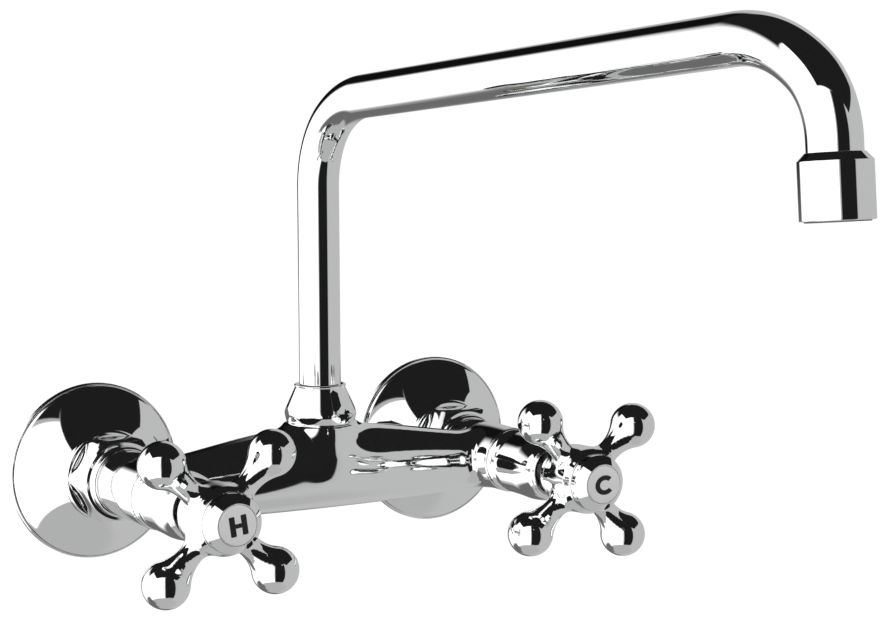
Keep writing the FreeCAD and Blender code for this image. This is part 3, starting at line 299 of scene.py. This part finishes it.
def outlet_frame():
    """The outlet's own axes: Z runs down the drop from the corner of the arm's centre line."""
    height = ARM_HEIGHT + REACH * math.tan(SLOPE)
    corner = Vector((0.0, SPOUT_Y - 0.001 * REACH, RISE + 0.001 * height))
    return Matrix.Translation(corner) @ Matrix.Rotation(math.pi - SLOPE, 4, "X") @ Matrix.Scale(0.001, 4)


def piece(name, points, faces, place, material, body, stands_for=()):
    """A finished piece: its place is in its mesh, it is smooth, and it rides on its body."""
    mesh = bpy.data.meshes.new(name)
    points = np.asarray(points, float)
    grid = np.array(place)
    world = points @ grid[:3, :3].T + grid[:3, 3]
    mesh.from_pydata(world.tolist(), [], [tuple(int(i) for i in face) for face in faces])
    mesh.materials.append(material)
    mesh.update()
    return finish(name, mesh, body, stands_for)


def finish(name, mesh, body, stands_for=()):
    """Joins double points, turns the faces outwards, smooths the piece, hangs it on its body and hides the
    nodes that it stands for.
    """
    thing = bpy.data.objects.new(name, mesh)
    link(thing)
    shape = bmesh.new()
    shape.from_mesh(mesh)
    bmesh.ops.remove_doubles(shape, verts=shape.verts, dist=1e-7)
    bmesh.ops.recalc_face_normals(shape, faces=shape.faces)
    shape.to_mesh(mesh)
    shape.free()
    mesh.shade_smooth()
    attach(thing, body)
    if stands_for:
        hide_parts(*stands_for)
    return thing


def arc_points(centre, radius, start, end, count):
    """Points on an arc, angles in degrees."""
    angles = np.radians(np.linspace(start, end, count))
    return [(centre[0] + radius * math.cos(a), centre[1] + radius * math.sin(a)) for a in angles]


def rounded(corners, steps=5, guard=0.03):
    """An outline with each corner (x, y, radius) rounded, and a point close before and after each
    rounding so that the flats beside it stay flat in the shading."""
    outline = []
    count = len(corners)
    for index, corner in enumerate(corners):
        here = Vector(corner[:2])
        radius = corner[2] if len(corner) > 2 else 0.0
        before = Vector(corners[index - 1][:2]) - here
        after = Vector(corners[(index + 1) % count][:2]) - here
        if radius <= 0.0:
            outline.append(tuple(here))
            continue
        half = before.angle(after) / 2.0
        reach = radius / math.tan(half)
        reach = min(reach, 0.45 * before.length, 0.45 * after.length)
        radius = reach * math.tan(half)
        first = here + before.normalized() * reach
        last = here + after.normalized() * reach
        centre = here + (before.normalized() + after.normalized()).normalized() * (radius / math.sin(half))
        outline.append(tuple(first + before.normalized() * guard))
        start = first - centre
        end = last - centre
        for step in range(steps + 1):
            way = start.slerp(end, step / steps)
            outline.append(tuple(centre + way.normalized() * radius))
        outline.append(tuple(last + after.normalized() * guard))
    return outline


def turned(outline, segments=160):
    """A closed outline (radius, depth) turned about Z."""
    count = len(outline)
    angles = np.linspace(0.0, 2.0 * math.pi, segments, endpoint=False)
    points = []
    for angle in angles:
        c, s = math.cos(angle), math.sin(angle)
        points += [(r * c, r * s, z) for r, z in outline]
    faces = []
    for seg in range(segments):
        here, there = seg * count, (seg + 1) % segments * count
        for k in range(count):
            n = (k + 1) % count
            if outline[k][0] < 1e-6 and outline[n][0] < 1e-6:
                continue
            if outline[k][0] < 1e-6:
                faces.append((here + k, there + n, here + n))
            elif outline[n][0] < 1e-6:
                faces.append((here + k, there + k, here + n))
            else:
                faces.append((here + k, there + k, there + n, here + n))
    return points, faces


def outline_distance(outline, x, y):
    """Signed distance from the points (x, y) to a closed outline, negative inside."""
    corners = np.array(outline, float)
    best = np.full(x.shape, 1e9)
    inside = np.zeros(x.shape, bool)
    for (ax, ay), (bx, by) in zip(corners, np.roll(corners, -1, axis=0)):
        ex, ey = bx - ax, by - ay
        length = max(ex * ex + ey * ey, 1e-12)
        share = np.clip(((x - ax) * ex + (y - ay) * ey) / length, 0.0, 1.0)
        best = np.minimum(best, (x - ax - share * ex) ** 2 + (y - ay - share * ey) ** 2)
        if ay != by:
            inside ^= ((ay > y) != (by > y)) & (x < (bx - ax) * (y - ay) / (by - ay) + ax)
    distance = np.sqrt(best)
    return np.where(inside, -distance, distance)


def melted(first, second, reach):
    """The union of two distance fields, with a soft fillet where they meet."""
    share = np.maximum(reach - np.abs(first - second), 0.0) / reach
    return np.minimum(first, second) - share * share * share * reach / 6.0


def skin(field, low, high, step):
    """Points and faces of the surface where field(x, y, z) is zero: one point for each grid cell that
    the surface crosses, moved on to the surface."""
    low = np.array(low, float)
    counts = np.ceil((np.array(high, float) - low) / step).astype(int) + 1
    axes = [low[k] + step * np.arange(counts[k]) for k in range(3)]
    value = np.empty(counts, np.float32)
    for start in range(0, counts[0], 24):
        block = np.meshgrid(axes[0][start:start + 24], axes[1], axes[2], indexing="ij")
        value[start:start + 24] = field(*block)
    filled = value < 0
    some = np.zeros(counts - 1, bool)
    every = np.ones(counts - 1, bool)
    corners = [(i, j, k) for i in (0, 1) for j in (0, 1) for k in (0, 1)]
    for i, j, k in corners:
        part = filled[i:i + counts[0] - 1, j:j + counts[1] - 1, k:k + counts[2] - 1]
        some |= part
        every &= part
    cells = np.argwhere(some & ~every)
    number = np.full(counts - 1, -1, int)
    number[tuple(cells.T)] = np.arange(len(cells))
    total = np.zeros((len(cells), 3))
    hits = np.zeros(len(cells))
    for first in corners:
        for axis in range(3):
            if first[axis]:
                continue
            second = list(first)
            second[axis] = 1
            a = value[tuple((cells + first).T)]
            b = value[tuple((cells + second).T)]
            crossed = (a < 0) != (b < 0)
            share = np.where(crossed, a / np.where(crossed, a - b, 1.0), 0.0)
            spot = np.repeat(np.array(first, float)[None], len(cells), 0)
            spot[:, axis] = share
            total += spot * crossed[:, None]
            hits += crossed
    points = low + step * (cells + total / hits[:, None])
    tiny = 0.02
    for _ in range(3):
        x, y, z = points.T
        here = field(x, y, z)
        slope = np.stack([field(x + tiny, y, z) - field(x - tiny, y, z),
                          field(x, y + tiny, z) - field(x, y - tiny, z),
                          field(x, y, z + tiny) - field(x, y, z - tiny)], -1) / (2 * tiny)
        move = slope * (here / np.maximum((slope ** 2).sum(1), 1e-3))[:, None]
        size = np.linalg.norm(move, axis=1, keepdims=True)
        points = points - move * np.minimum(1.0, 0.6 * step / np.maximum(size, 1e-9))
    faces = []
    for axis in range(3):
        ahead = [slice(None)] * 3
        behind = [slice(None)] * 3
        ahead[axis], behind[axis] = slice(1, None), slice(None, -1)
        change = filled[tuple(behind)] != filled[tuple(ahead)]
        edges = np.argwhere(change)
        u, v = [k for k in range(3) if k != axis]
        edges = edges[(edges[:, u] > 0) & (edges[:, v] > 0)
                      & (edges[:, u] < counts[u] - 1) & (edges[:, v] < counts[v] - 1)]
        ring = []
        for du, dv in ((-1, -1), (0, -1), (0, 0), (-1, 0)):
            cell = edges.copy()
            cell[:, u] += du
            cell[:, v] += dv
            ring.append(number[tuple(cell.T)])
        faces.append(np.stack(ring, -1))
    return points, np.concatenate(faces)


def softened(name, node, width, material, body):
    """A copy of a CAD node with its edges rounded, which stands for the node."""
    mesh = NODES[node].data.copy()
    mesh.name = name
    mesh.materials.clear()
    mesh.materials.append(material)
    shape = bmesh.new()
    shape.from_mesh(mesh)
    bmesh.ops.remove_doubles(shape, verts=shape.verts, dist=2e-6)
    bmesh.ops.recalc_face_normals(shape, faces=shape.faces)
    sharp = [edge for edge in shape.edges if len(edge.link_faces) == 2 and edge.calc_face_angle(0.0) > 0.35]
    bmesh.ops.bevel(shape, geom=sharp, offset=width, segments=2, profile=0.6, affect="EDGES",
                    clamp_overlap=True, harden_normals=False)
    shape.to_mesh(mesh)
    shape.free()
    mesh.shade_smooth()
    mesh.set_sharp_from_angle(angle=math.radians(38))
    thing = bpy.data.objects.new(name, mesh)
    link(thing)
    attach(thing, body)
    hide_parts(node)
    return thing


# ---------------------------------------------------------------- wall side
def wall_rose(side):
    """Spun rose: a flat rim band, a slightly hollow cone and a rolled neck."""
    outline = rounded([(32.6, 0.0, 0.1), (34.0, 0.0, 0.15), (34.0, 1.75, 0.25), (33.3, 2.15, 0.25)], 4)[:-1]
    rim, neck_foot = Vector((33.3, 2.15)), Vector((17.6, 15.0))
    across = Vector((neck_foot.y - rim.y, rim.x - neck_foot.x)).normalized()

    def hollow(start, end, depth, first, count):
        return [tuple(start.lerp(end, share) - across * (depth * 4 * share * (1 - share)))
                for share in np.linspace(first, 0.97, count)]

    bow = hollow(rim, neck_foot, 0.98, 0.03, 24)
    neck = arc_points((16.1, 14.9), 1.5, 4, 90, 7)
    inner = [(13.4, 16.4), (13.25, 16.3), (13.25, 10.9), (14.5, 10.9), (14.55, 14.8), (16.2, 14.0)]
    back = hollow(Vector((16.2, 14.0)), Vector((30.6, 1.2)), 0.95, 0.05, 14)
    points, faces = turned(outline + bow + neck + inner + back + [(32.6, 1.2)], 200)
    piece("wall_rose_" + side, points, faces, valve_frame(side), FINISH["rose"], "root",
          ["escutcheon_" + side])


def valve_sleeve(side):
    """Sleeve over the headwork, drawn in to a rolled lip at its front."""
    outer = rounded([(11.3, 66.0, 0.1), (12.0, 66.0, 0.3), (12.3, 66.5, 0.3)], 3)
    wall = [(12.05, 74.0), (12.08, 78.0), (12.25, 83.0)]
    waist = []
    for share in np.linspace(0.0, 1.0, 14):
        angle = share * math.pi / 2
        waist.append((10.0 + 2.4 * math.cos(angle) ** 0.9, 86.0 + 10.6 * math.sin(angle) ** 1.15))
    lip = arc_points((9.5, 96.8), 0.6, 0, 180, 9)
    inner = [(8.8, 96.2), (8.7, 87.0), (7.55, 87.0), (7.55, 84.0), (11.3, 82.0)]
    points, faces = turned(outer + wall + waist + lip + inner, 176)
    piece("valve_sleeve_" + side, points, faces, valve_frame(side), FINISH["sleeve"], "root",
          ["valve_shroud_" + side])


# ---------------------------------------------------------------- body casting
def arched(far, sizes):
    """An even curve through its values at the crown, at half of the bridge's reach and at its end."""
    crown, quarter, end = sizes
    share = (far / BRIDGE_REACH) ** 2
    bow = (quarter - crown - 0.25 * (end - crown)) / (0.0625 - 0.25)
    return crown + (end - crown - bow) * share + bow * share * share


def casting_field(x, y, z):
    """The casting about the spout's axis: x along the bridge, y out from the wall being negative."""
    far = np.abs(x)
    wide, tall, middle = (arched(far, sizes) for sizes in zip(*BRIDGE_OVALS))
    level = z - middle
    oval = np.sqrt((y / wide) ** 2 + (level / tall) ** 2)
    bridge = (oval - 1.0) * np.minimum(wide, tall)
    bridge = np.maximum(bridge, far - 74.0)
    radius = np.sqrt(x * x + y * y)
    hub = outline_distance(HUB_OUTLINE, radius, z)
    around = np.sqrt((far - 75.0) ** 2 + z * z)
    tower = outline_distance(TOWER_OUTLINE, around, y + 1000.0 * SPOUT_Y)
    return melted(melted(bridge, hub, 9.0), tower, 7.0)


def body_casting():
    points, faces = skin(casting_field, (-89.0, -21.5, -17.0), (89.0, 18.5, 29.0), 0.6)
    piece("body_casting", points, faces, spout_frame(), FINISH["body"], "root", ["faucet_body"])


# ---------------------------------------------------------------- handles
def handle_field(x, y, z):
    """A cross handle about its own axis, with its four arms along X and Y."""
    hub = outline_distance(HANDLE_OUTLINE, np.sqrt(x * x + y * y), z)
    along = np.maximum(np.abs(x), np.abs(y))
    aside = np.minimum(np.abs(x), np.abs(y))
    around = np.sqrt(aside ** 2 + (z - 115.5) ** 2)
    arm = outline_distance(ARM_OUTLINE, along, around)
    return melted(hub, arm, 4.5)


def arm_outline():
    """Half of an arm, (along, away from its axis): a waist that runs into a ball without a corner."""
    ball, reach, neck, waist_at = 8.5, 29.5, 4.15, 15.8
    span = reach - waist_at
    waist = (span * span + neck * neck - ball * ball) / (2 * (ball - neck))
    centre = (waist_at, neck + waist)
    touch = math.degrees(math.atan2(-centre[1], reach - waist_at))
    inner = arc_points(centre, waist, -90 - 34, touch, 14)
    outer = arc_points((reach, 0.0), ball, 180 + touch, 0, 26)
    return [(4.0, -3.0), (4.0, inner[0][1])] + inner + outer[1:] + [(reach + ball, -3.0)]


def cross_handles():
    points, faces = skin(handle_field, (-39.0, -39.0, 100.4), (39.0, 39.0, 125.4), 0.45)
    for side, turn in (("hot", HOT_TURN), ("cold", COLD_TURN)):
        piece("cross_handle_skin_" + side, points, faces, valve_frame(side, turn), FINISH["handle"],
              side + "_valve", ["cross_handle_" + side])


def index_cap(side):
    """Cap in the middle of the handle, with a thin bright edge round the index disc."""
    outline = rounded([(10.7, 124.4, 0.2), (10.7, 127.2, 1.4), (7.6, 130.3, 0.3),
                       (7.2, 130.3, 0.1), (7.2, 129.0), (0.0, 129.0), (0.0, 127.4), (6.8, 127.4),
                       (6.8, 122.8), (8.9, 122.8), (8.9, 124.4)], 5)
    points, faces = turned(outline, 144)
    piece("index_cap_skin_" + side, points, faces, valve_frame(side, HOT_TURN), FINISH["cap"],
          side + "_valve", ["index_cap_" + side])


def index_face(side):
    """Moulded disc, very slightly domed, with a soft edge."""
    dome = [(0.0, 131.0), (2.4, 130.98), (4.6, 130.92), (6.2, 130.82)]
    outline = [(0.0, 129.0), (7.1, 129.0)] + arc_points((6.55, 130.15), 0.55, 0, 80, 6) + dome[::-1]
    points, faces = turned(outline, 144)
    piece("index_face_" + side, points, faces, valve_frame(side), FINISH["index"],
          side + "_valve", ["index_disc_" + side])


def stroke_mark(name, outlines, side, tilt):
    """Flat raised strokes on the index disc, seen from the front; tilt in degrees."""
    thickness = 0.14
    shape = bmesh.new()
    for outline in outlines:
        corners = [shape.verts.new((x, y, 130.93 - 0.003 * (x * x + y * y))) for x, y in outline]
        raised = bmesh.ops.extrude_face_region(shape, geom=[shape.faces.new(corners)])
        for item in raised["geom"]:
            if isinstance(item, bmesh.types.BMVert):
                item.co.z += thickness
    mesh = bpy.data.meshes.new(name)
    shape.transform(valve_frame(side, tilt))
    shape.to_mesh(mesh)
    shape.free()
    mesh.materials.append(FINISH["letter"])
    thing = finish(name, mesh, side + "_valve", ())
    thing.data.set_sharp_from_angle(angle=math.radians(30))
    return thing


def bar(x0, x1, y0, y1, soft=0.3):
    """A bar with rounded corners."""
    return rounded([(x0, y0, soft), (x1, y0, soft), (x1, y1, soft), (x0, y1, soft)], 4)


def index_letters():
    """H for hot and C for cold, as plain strokes."""
    post, half, high = 2.1, 3.3, 3.5
    left = bar(-half, -half + post, -high, high)
    right = bar(half - post, half, -high, high)
    middle = bar(-half + post - 0.3, half - post + 0.3, -0.75, 0.75, 0.05)
    stroke_mark("hot_letter", [left, right, middle], "hot", 8.0)
    wide = 1.15
    opening = 42
    outer = [(wide * x, y) for x, y in arc_points((0.0, 0.0), 3.65, opening, 360 - opening, 32)]
    inner = [(wide * x, y) for x, y in arc_points((0.0, 0.0), 1.9, 360 - opening, opening, 32)]
    stroke_mark("cold_letter", [outer + inner], "cold", 4.0)


# ---------------------------------------------------------------- spout
def swept(spot, way, arcs):
    """Points and directions along arcs (radius, sweep) that bend downwards from spot."""
    spots, ways = [], []
    for radius, sweep in arcs:
        steps = int(math.degrees(sweep) / 1.5)
        chord = 2 * radius * math.sin(sweep / steps / 2)
        for _ in range(steps):
            way -= sweep / steps
            middle = way + sweep / steps / 2
            spot = spot + chord * np.array((math.cos(middle), math.sin(middle)))
            spots.append(spot)
            ways.append(way)
    return spots, ways


def spout_route():
    """Points and directions of the tube's centre line, (out from the riser, up), in millimetres."""
    up = math.pi / 2
    bend, ways = swept(np.zeros(2), up, ((32.6, math.radians(56.0)), (49.2, math.radians(29.0))))
    foot = np.array((0.0, ARM_HEIGHT + bend[-1][0] * math.tan(SLOPE) - bend[-1][1]))
    route = [np.array((0.0, 20.0)), np.array((0.0, 20.1)), foot] + [spot + foot for spot in bend]
    headings = [up] * 3 + ways
    corner = np.array((REACH, ARM_HEIGHT + REACH * math.tan(SLOPE)))
    along = np.array((math.cos(SLOPE), math.sin(SLOPE)))
    down = np.array((math.sin(SLOPE), -math.cos(SLOPE)))
    wide, tight, turn = 51.6, 25.7, math.radians(39.0)
    start = corner - along * (wide * math.sin(turn) + tight * (1 - math.sin(turn)))
    arm_foot = route[-1]
    route += [arm_foot * (1 - share) + start * share for share in (0.25, 0.5, 0.75)] + [start]
    headings += [SLOPE] * 4
    bend, ways = swept(start, SLOPE, ((wide, turn), (tight, math.pi / 2 - turn)))
    route += bend + [corner + down * 43.3, corner + down * 43.4]
    headings += ways + [ways[-1]] * 2
    return route, headings


def bent_tube():
    """The spout's tube: its outside, its bore and both ends. The other pieces don't mirror it."""
    route, headings = spout_route()
    sides, rows = 144, len(route)
    points, faces = [], []
    for radius in (TUBE_RADIUS, BORE_RADIUS):
        for (out, up), way in zip(route, headings):
            for k in range(sides):
                angle = 2 * math.pi * k / sides
                across, above = radius * math.cos(angle), radius * math.sin(angle)
                points.append((across, -(out - above * math.sin(way)), up + above * math.cos(way)))

    def strip(first, second):
        for k in range(sides):
            n = (k + 1) % sides
            faces.append((first * sides + k, first * sides + n, second * sides + n, second * sides + k))

    for row in range(2 * rows - 1):
        if row != rows - 1:
            strip(row, row + 1)
    for row in (0, rows - 1):
        strip(row, rows + row)
    tube = piece("bent_tube", points, faces, spout_frame(), FINISH["tube"], "spout", ["spout_tube"])
    tube.visible_glossy = False


def collar():
    """Outlet collar: a short bevelled shoulder, a straight wall and a bright lower edge."""
    outline = rounded([(8.0, 34.6, 0.1), (8.4, 34.6, 0.25), (10.6, 36.9, 0.35), (10.6, 53.3, 0.35),
                       (9.5, 53.3, 0.12), (9.5, 44.5, 0.1), (7.1, 44.5, 0.1), (7.1, 43.5, 0.1),
                       (8.0, 43.5, 0.1)], 5)
    points, faces = turned(outline, 176)
    piece("collar_skin", points, faces, outlet_frame(), FINISH["collar"], "spout", ["outlet_collar"])


# ---------------------------------------------------------------- repeated detail
def repeat_tree(name, sockets):
    """An empty Geometry Nodes tree with named inputs and one geometry output."""
    tree = bpy.data.node_groups.new(name, "GeometryNodeTree")
    tree.interface.new_socket(name="Geometry", in_out="INPUT", socket_type="NodeSocketGeometry")
    for label, kind, start in sockets:
        socket = tree.interface.new_socket(name=label, in_out="INPUT", socket_type=kind)
        if start is not None:
            socket.default_value = start
    tree.interface.new_socket(name="Geometry", in_out="OUTPUT", socket_type="NodeSocketGeometry")
    return tree


def dressed(tree, sheet, solid, given):
    """The tree, ended: its solid made real and given the material."""
    plain = sheet.add("GeometryNodeRealizeInstances", {"Geometry": solid.outputs[0]})
    coated = sheet.add("GeometryNodeSetMaterial", {"Geometry": plain.outputs[0],
                                                   "Material": given.outputs["Material"]})
    sheet.add("NodeGroupOutput", {0: coated.outputs[0]})
    return tree


def grown(tree, sizes):
    """The plain mesh that a tree makes with the given sizes."""
    seed = bpy.data.objects.new("seed", bpy.data.meshes.new("seed"))
    link(seed)
    modifier = seed.modifiers.new("grow", "NODES")
    modifier.node_group = tree
    for item in tree.interface.items_tree:
        if item.item_type == "SOCKET" and item.in_out == "INPUT" and item.name in sizes:
            modifier[item.identifier] = sizes[item.name]
    bpy.context.view_layer.update()
    seen = seed.evaluated_get(bpy.context.evaluated_depsgraph_get())
    mesh = bpy.data.meshes.new_from_object(seen)
    bpy.data.objects.remove(seed)
    return mesh


def thread_tree():
    """A pipe thread: a three-sided ridge that follows a helix."""
    tree = repeat_tree("pipe_thread", [("Turns", "NodeSocketFloat", 8.0),
                                       ("Length", "NodeSocketFloat", 0.014),
                                       ("Root Radius", "NodeSocketFloat", 0.0094),
                                       ("Ridge", "NodeSocketFloat", 0.0011),
                                       ("Material", "NodeSocketMaterial", None)])
    sheet = Sheet(tree)
    given = sheet.add("NodeGroupInput")
    helix = sheet.add("GeometryNodeCurveSpiral", {"Resolution": 72, "Rotations": given.outputs["Turns"],
                                                  "Start Radius": given.outputs["Root Radius"],
                                                  "End Radius": given.outputs["Root Radius"],
                                                  "Height": given.outputs["Length"]})
    ridge = sheet.add("GeometryNodeCurvePrimitiveCircle", {"Resolution": 3, "Radius": given.outputs["Ridge"]},
                      mode="RADIUS")
    solid = sheet.add("GeometryNodeCurveToMesh", {"Curve": helix.outputs[0],
                                                  "Profile Curve": ridge.outputs[0], "Fill Caps": True})
    return dressed(tree, sheet, solid, given)


def sieve_tree():
    """A round wire screen: a grid's lines, kept inside a circle, each with a thin wire on it."""
    tree = repeat_tree("wire_screen", [("Radius", "NodeSocketFloat", 0.0078),
                                       ("Openings", "NodeSocketInt", 17),
                                       ("Wire", "NodeSocketFloat", 0.00016),
                                       ("Material", "NodeSocketMaterial", None)])
    sheet = Sheet(tree)
    given = sheet.add("NodeGroupInput")
    across = sheet.math("MULTIPLY", given.outputs["Radius"], 2.0)
    lines = sheet.add("GeometryNodeMeshGrid", {"Size X": across, "Size Y": across,
                                               "Vertices X": given.outputs["Openings"],
                                               "Vertices Y": given.outputs["Openings"]})
    spot = sheet.add("GeometryNodeInputPosition")
    reach = sheet.add("ShaderNodeVectorMath", {0: spot.outputs[0]}, operation="LENGTH")
    outside = sheet.add("FunctionNodeCompare", {0: reach.outputs[1], 1: given.outputs["Radius"]},
                        operation="GREATER_THAN", data_type="FLOAT")
    inside = sheet.add("GeometryNodeDeleteGeometry", {"Geometry": lines.outputs[0],
                                                      "Selection": outside.outputs[0]})
    wires = sheet.add("GeometryNodeMeshToCurve", {"Mesh": inside.outputs[0]})
    ring = sheet.add("GeometryNodeCurvePrimitiveCircle", {"Resolution": 5, "Radius": given.outputs["Wire"]},
                     mode="RADIUS")
    solid = sheet.add("GeometryNodeCurveToMesh", {"Curve": wires.outputs[0],
                                                  "Profile Curve": ring.outputs[0]})
    return dressed(tree, sheet, solid, given)


def wall_union(side, tree):
    """Eccentric union: a threaded tail and its offset block."""
    tail = rounded([(7.5, -20.0, 0.2), (9.1, -20.0, 0.5), (9.5, -18.5, 0.2), (9.5, 1.2, 0.1),
                    (7.5, 1.2, 0.1)], 3)
    points, faces = turned(tail, 96)
    low = Matrix.Translation((0.0, 0.0, -RISE)) @ valve_frame(side)
    piece("union_tail_" + side, points, faces, low, FINISH["union"], "root", ())
    thread = grown(tree, {"Turns": 8.0, "Length": 0.0145, "Root Radius": 0.00955, "Ridge": 0.0009,
                          "Material": FINISH["union"]})
    thread.transform(Matrix.Translation((SIDES[side], 0.0185, 0.0)) @ Matrix.Rotation(math.pi / 2, 4, "X"))
    finish("union_thread_" + side, thread, "root", ())
    drop, radius = 1000.0 * RISE, 13.6
    block = []
    for angle in np.linspace(0, 2 * math.pi, 120, endpoint=False):
        low_half = drop if math.sin(angle) < 0 else 0.0
        block.append((radius * math.cos(angle), radius * math.sin(angle) - low_half))
    count = len(block)
    levels = [(1.0, 0.94), (1.0, 1.0), (1.5, 1.0), (7.5, 1.0), (8.0, 1.0), (8.0, 0.9)]   # depth, scale
    points = []
    for depth, scale in levels:
        points += [(x * scale, (y + drop / 2) * scale - drop / 2, depth) for x, y in block]
    faces = []
    for row in range(len(levels) - 1):
        for k in range(count):
            n = (k + 1) % count
            faces.append((row * count + k, row * count + n, (row + 1) * count + n, (row + 1) * count + k))
    faces += [tuple(range(count)), tuple(range((len(levels) - 1) * count, len(levels) * count))]
    piece("union_block_" + side, points, faces, valve_frame(side), FINISH["union"], "root",
          ["inlet_union_" + side])


def outlet_screen(tree):
    mesh = grown(tree, {"Radius": 0.0078, "Openings": 17, "Wire": 0.00017, "Material": FINISH["screen"]})
    mesh.transform(outlet_frame() @ Matrix.Translation((0, 0, 51.05)) @ Matrix.Scale(1000.0, 4))
    finish("outlet_screen", mesh, "spout", ["aerator_screen"])


# ---------------------------------------------------------------- the rest of the frame
NODE_FINISHES = [
    ("union_washer", "fibre"), ("seat_seal", "rubber"), ("bonnet_seal", "fibre"),
    ("spindle_orings", "rubber"),
    ("spout_orings", "rubber"), ("aerator_gasket", "rubber"), ("fixed_disc", "ceramic"),
    # valve_bonnet and spindle take the dark plating below, a painted shade for the gap where they show
    ("turning_disc", "ceramic"), ("valve_bonnet", "gap_shade_plating"), ("spindle_clip", "steel"), ("spindle", "gap_shade_plating"),
    ("handle_screw", "steel"), ("spout_split_ring", "slip"), ("spout_ferrule", "brass"),
    ("aerator_housing", "aerator"), ("aerator_diffuser", "aerator"),
]


def dress_nodes():
    """Every CAD node gets its finish, which is the nut's chrome unless the list gives another."""
    for name, node in NODES.items():
        finish_name = next((f for start, f in NODE_FINISHES if name.startswith(start)), "nut")
        node.data.materials.clear()
        node.data.materials.append(FINISH[finish_name])


# ---------------------------------------------------------------- outlines and finishes
HUB_OUTLINE = rounded([(-1.0, 0.0), (13.7, 0.0), (15.2, 7.0), (14.1, 13.0), (13.4, 18.4, 0.4), (11.2, 18.4),
                       (11.2, 27.0, 0.6), (-1.0, 27.0)], 4, 0.0)
TOWER_OUTLINE = rounded([(-1.0, 34.2), (12.6, 34.2, 1.6), (12.6, 66.0, 0.35), (-1.0, 66.0)], 5, 0.0)
TOWER_OUTLINE = [(r, -d) for r, d in TOWER_OUTLINE]
HANDLE_OUTLINE = rounded([(-1.0, 101.4), (9.9, 101.4, 0.6), (9.9, 103.9, 2.5), (12.2, 107.0, 2.5),
                          (12.5, 110.4, 4.0), (12.4, 121.5, 1.5), (10.9, 124.4, 0.8), (-1.0, 124.4)], 5, 0.0)
ARM_OUTLINE = arm_outline()
POLISH = polish_group()
FINISH = {
    "body": plated("body_casting_chrome", 0.05, 0.5, 0.10, 26.0),
    "rose": plated("spun_rose_chrome", 0.035, 0.4, 0.03, 20.0),
    "nut": plated("union_nut_chrome", 0.045, 0.5),
    "union": plated("union_chrome", 0.12, 0.5),
    "sleeve": plated("sleeve_chrome", 0.04, 0.4),
    "handle": plated("cross_handle_chrome", 0.03, 0.4, 0.03, 30.0),
    "cap": plated("index_cap_chrome", 0.03, 0.3),
    "tube": plated("tube_chrome", 0.022, 0.3),
    "collar": plated("collar_chrome", 0.022, 0.3),
    "brass": turned_metal("turned_brass", (0.80, 0.60, 0.32), 0.28),
    # Painted shade: plating made dark so that the bonnet and spindle stand in for the shade in the gap where
    # they show
    "gap_shade_plating": turned_metal("plating_darkened_as_gap_shade", (0.20, 0.19, 0.18), 0.35),
    "steel": turned_metal("spring_steel", (0.62, 0.62, 0.64), 0.25),
    "screen": turned_metal("screen_steel", (0.70, 0.70, 0.72), 0.22),
    "rubber": moulded("black_rubber", (0.03, 0.03, 0.032), 0.55),
    "fibre": moulded("red_fibre", (0.42, 0.10, 0.06), 0.75, 0.2),
    "ceramic": moulded("white_ceramic", (0.86, 0.86, 0.84), 0.18, 0.02),
    "slip": moulded("slip_ring_plastic", (0.80, 0.80, 0.78), 0.4),
    "aerator": moulded("aerator_plastic", (0.22, 0.22, 0.23), 0.42),
    "index": moulded("index_plastic", (0.74, 0.74, 0.74), 0.35, 0.03),
    "letter": moulded("letter_ink", (0.008, 0.008, 0.009), 0.45),
}

bpy.context.scene.view_settings.view_transform = "Standard"
place_camera()
studio_world()
studio_floor()
dress_nodes()
body_casting()
cross_handles()
bent_tube()
collar()
threads = thread_tree()
for side in SIDES:
    wall_rose(side)
    wall_union(side, threads)
    valve_sleeve(side)
    index_cap(side)
    index_face(side)
    softened("hex_nut_" + side, "union_nut_" + side, 0.00025, FINISH["nut"], "root")
index_letters()
softened("facet_nut", "spout_nut", 0.0001, FINISH["collar"], "root")
outlet_screen(sieve_tree())
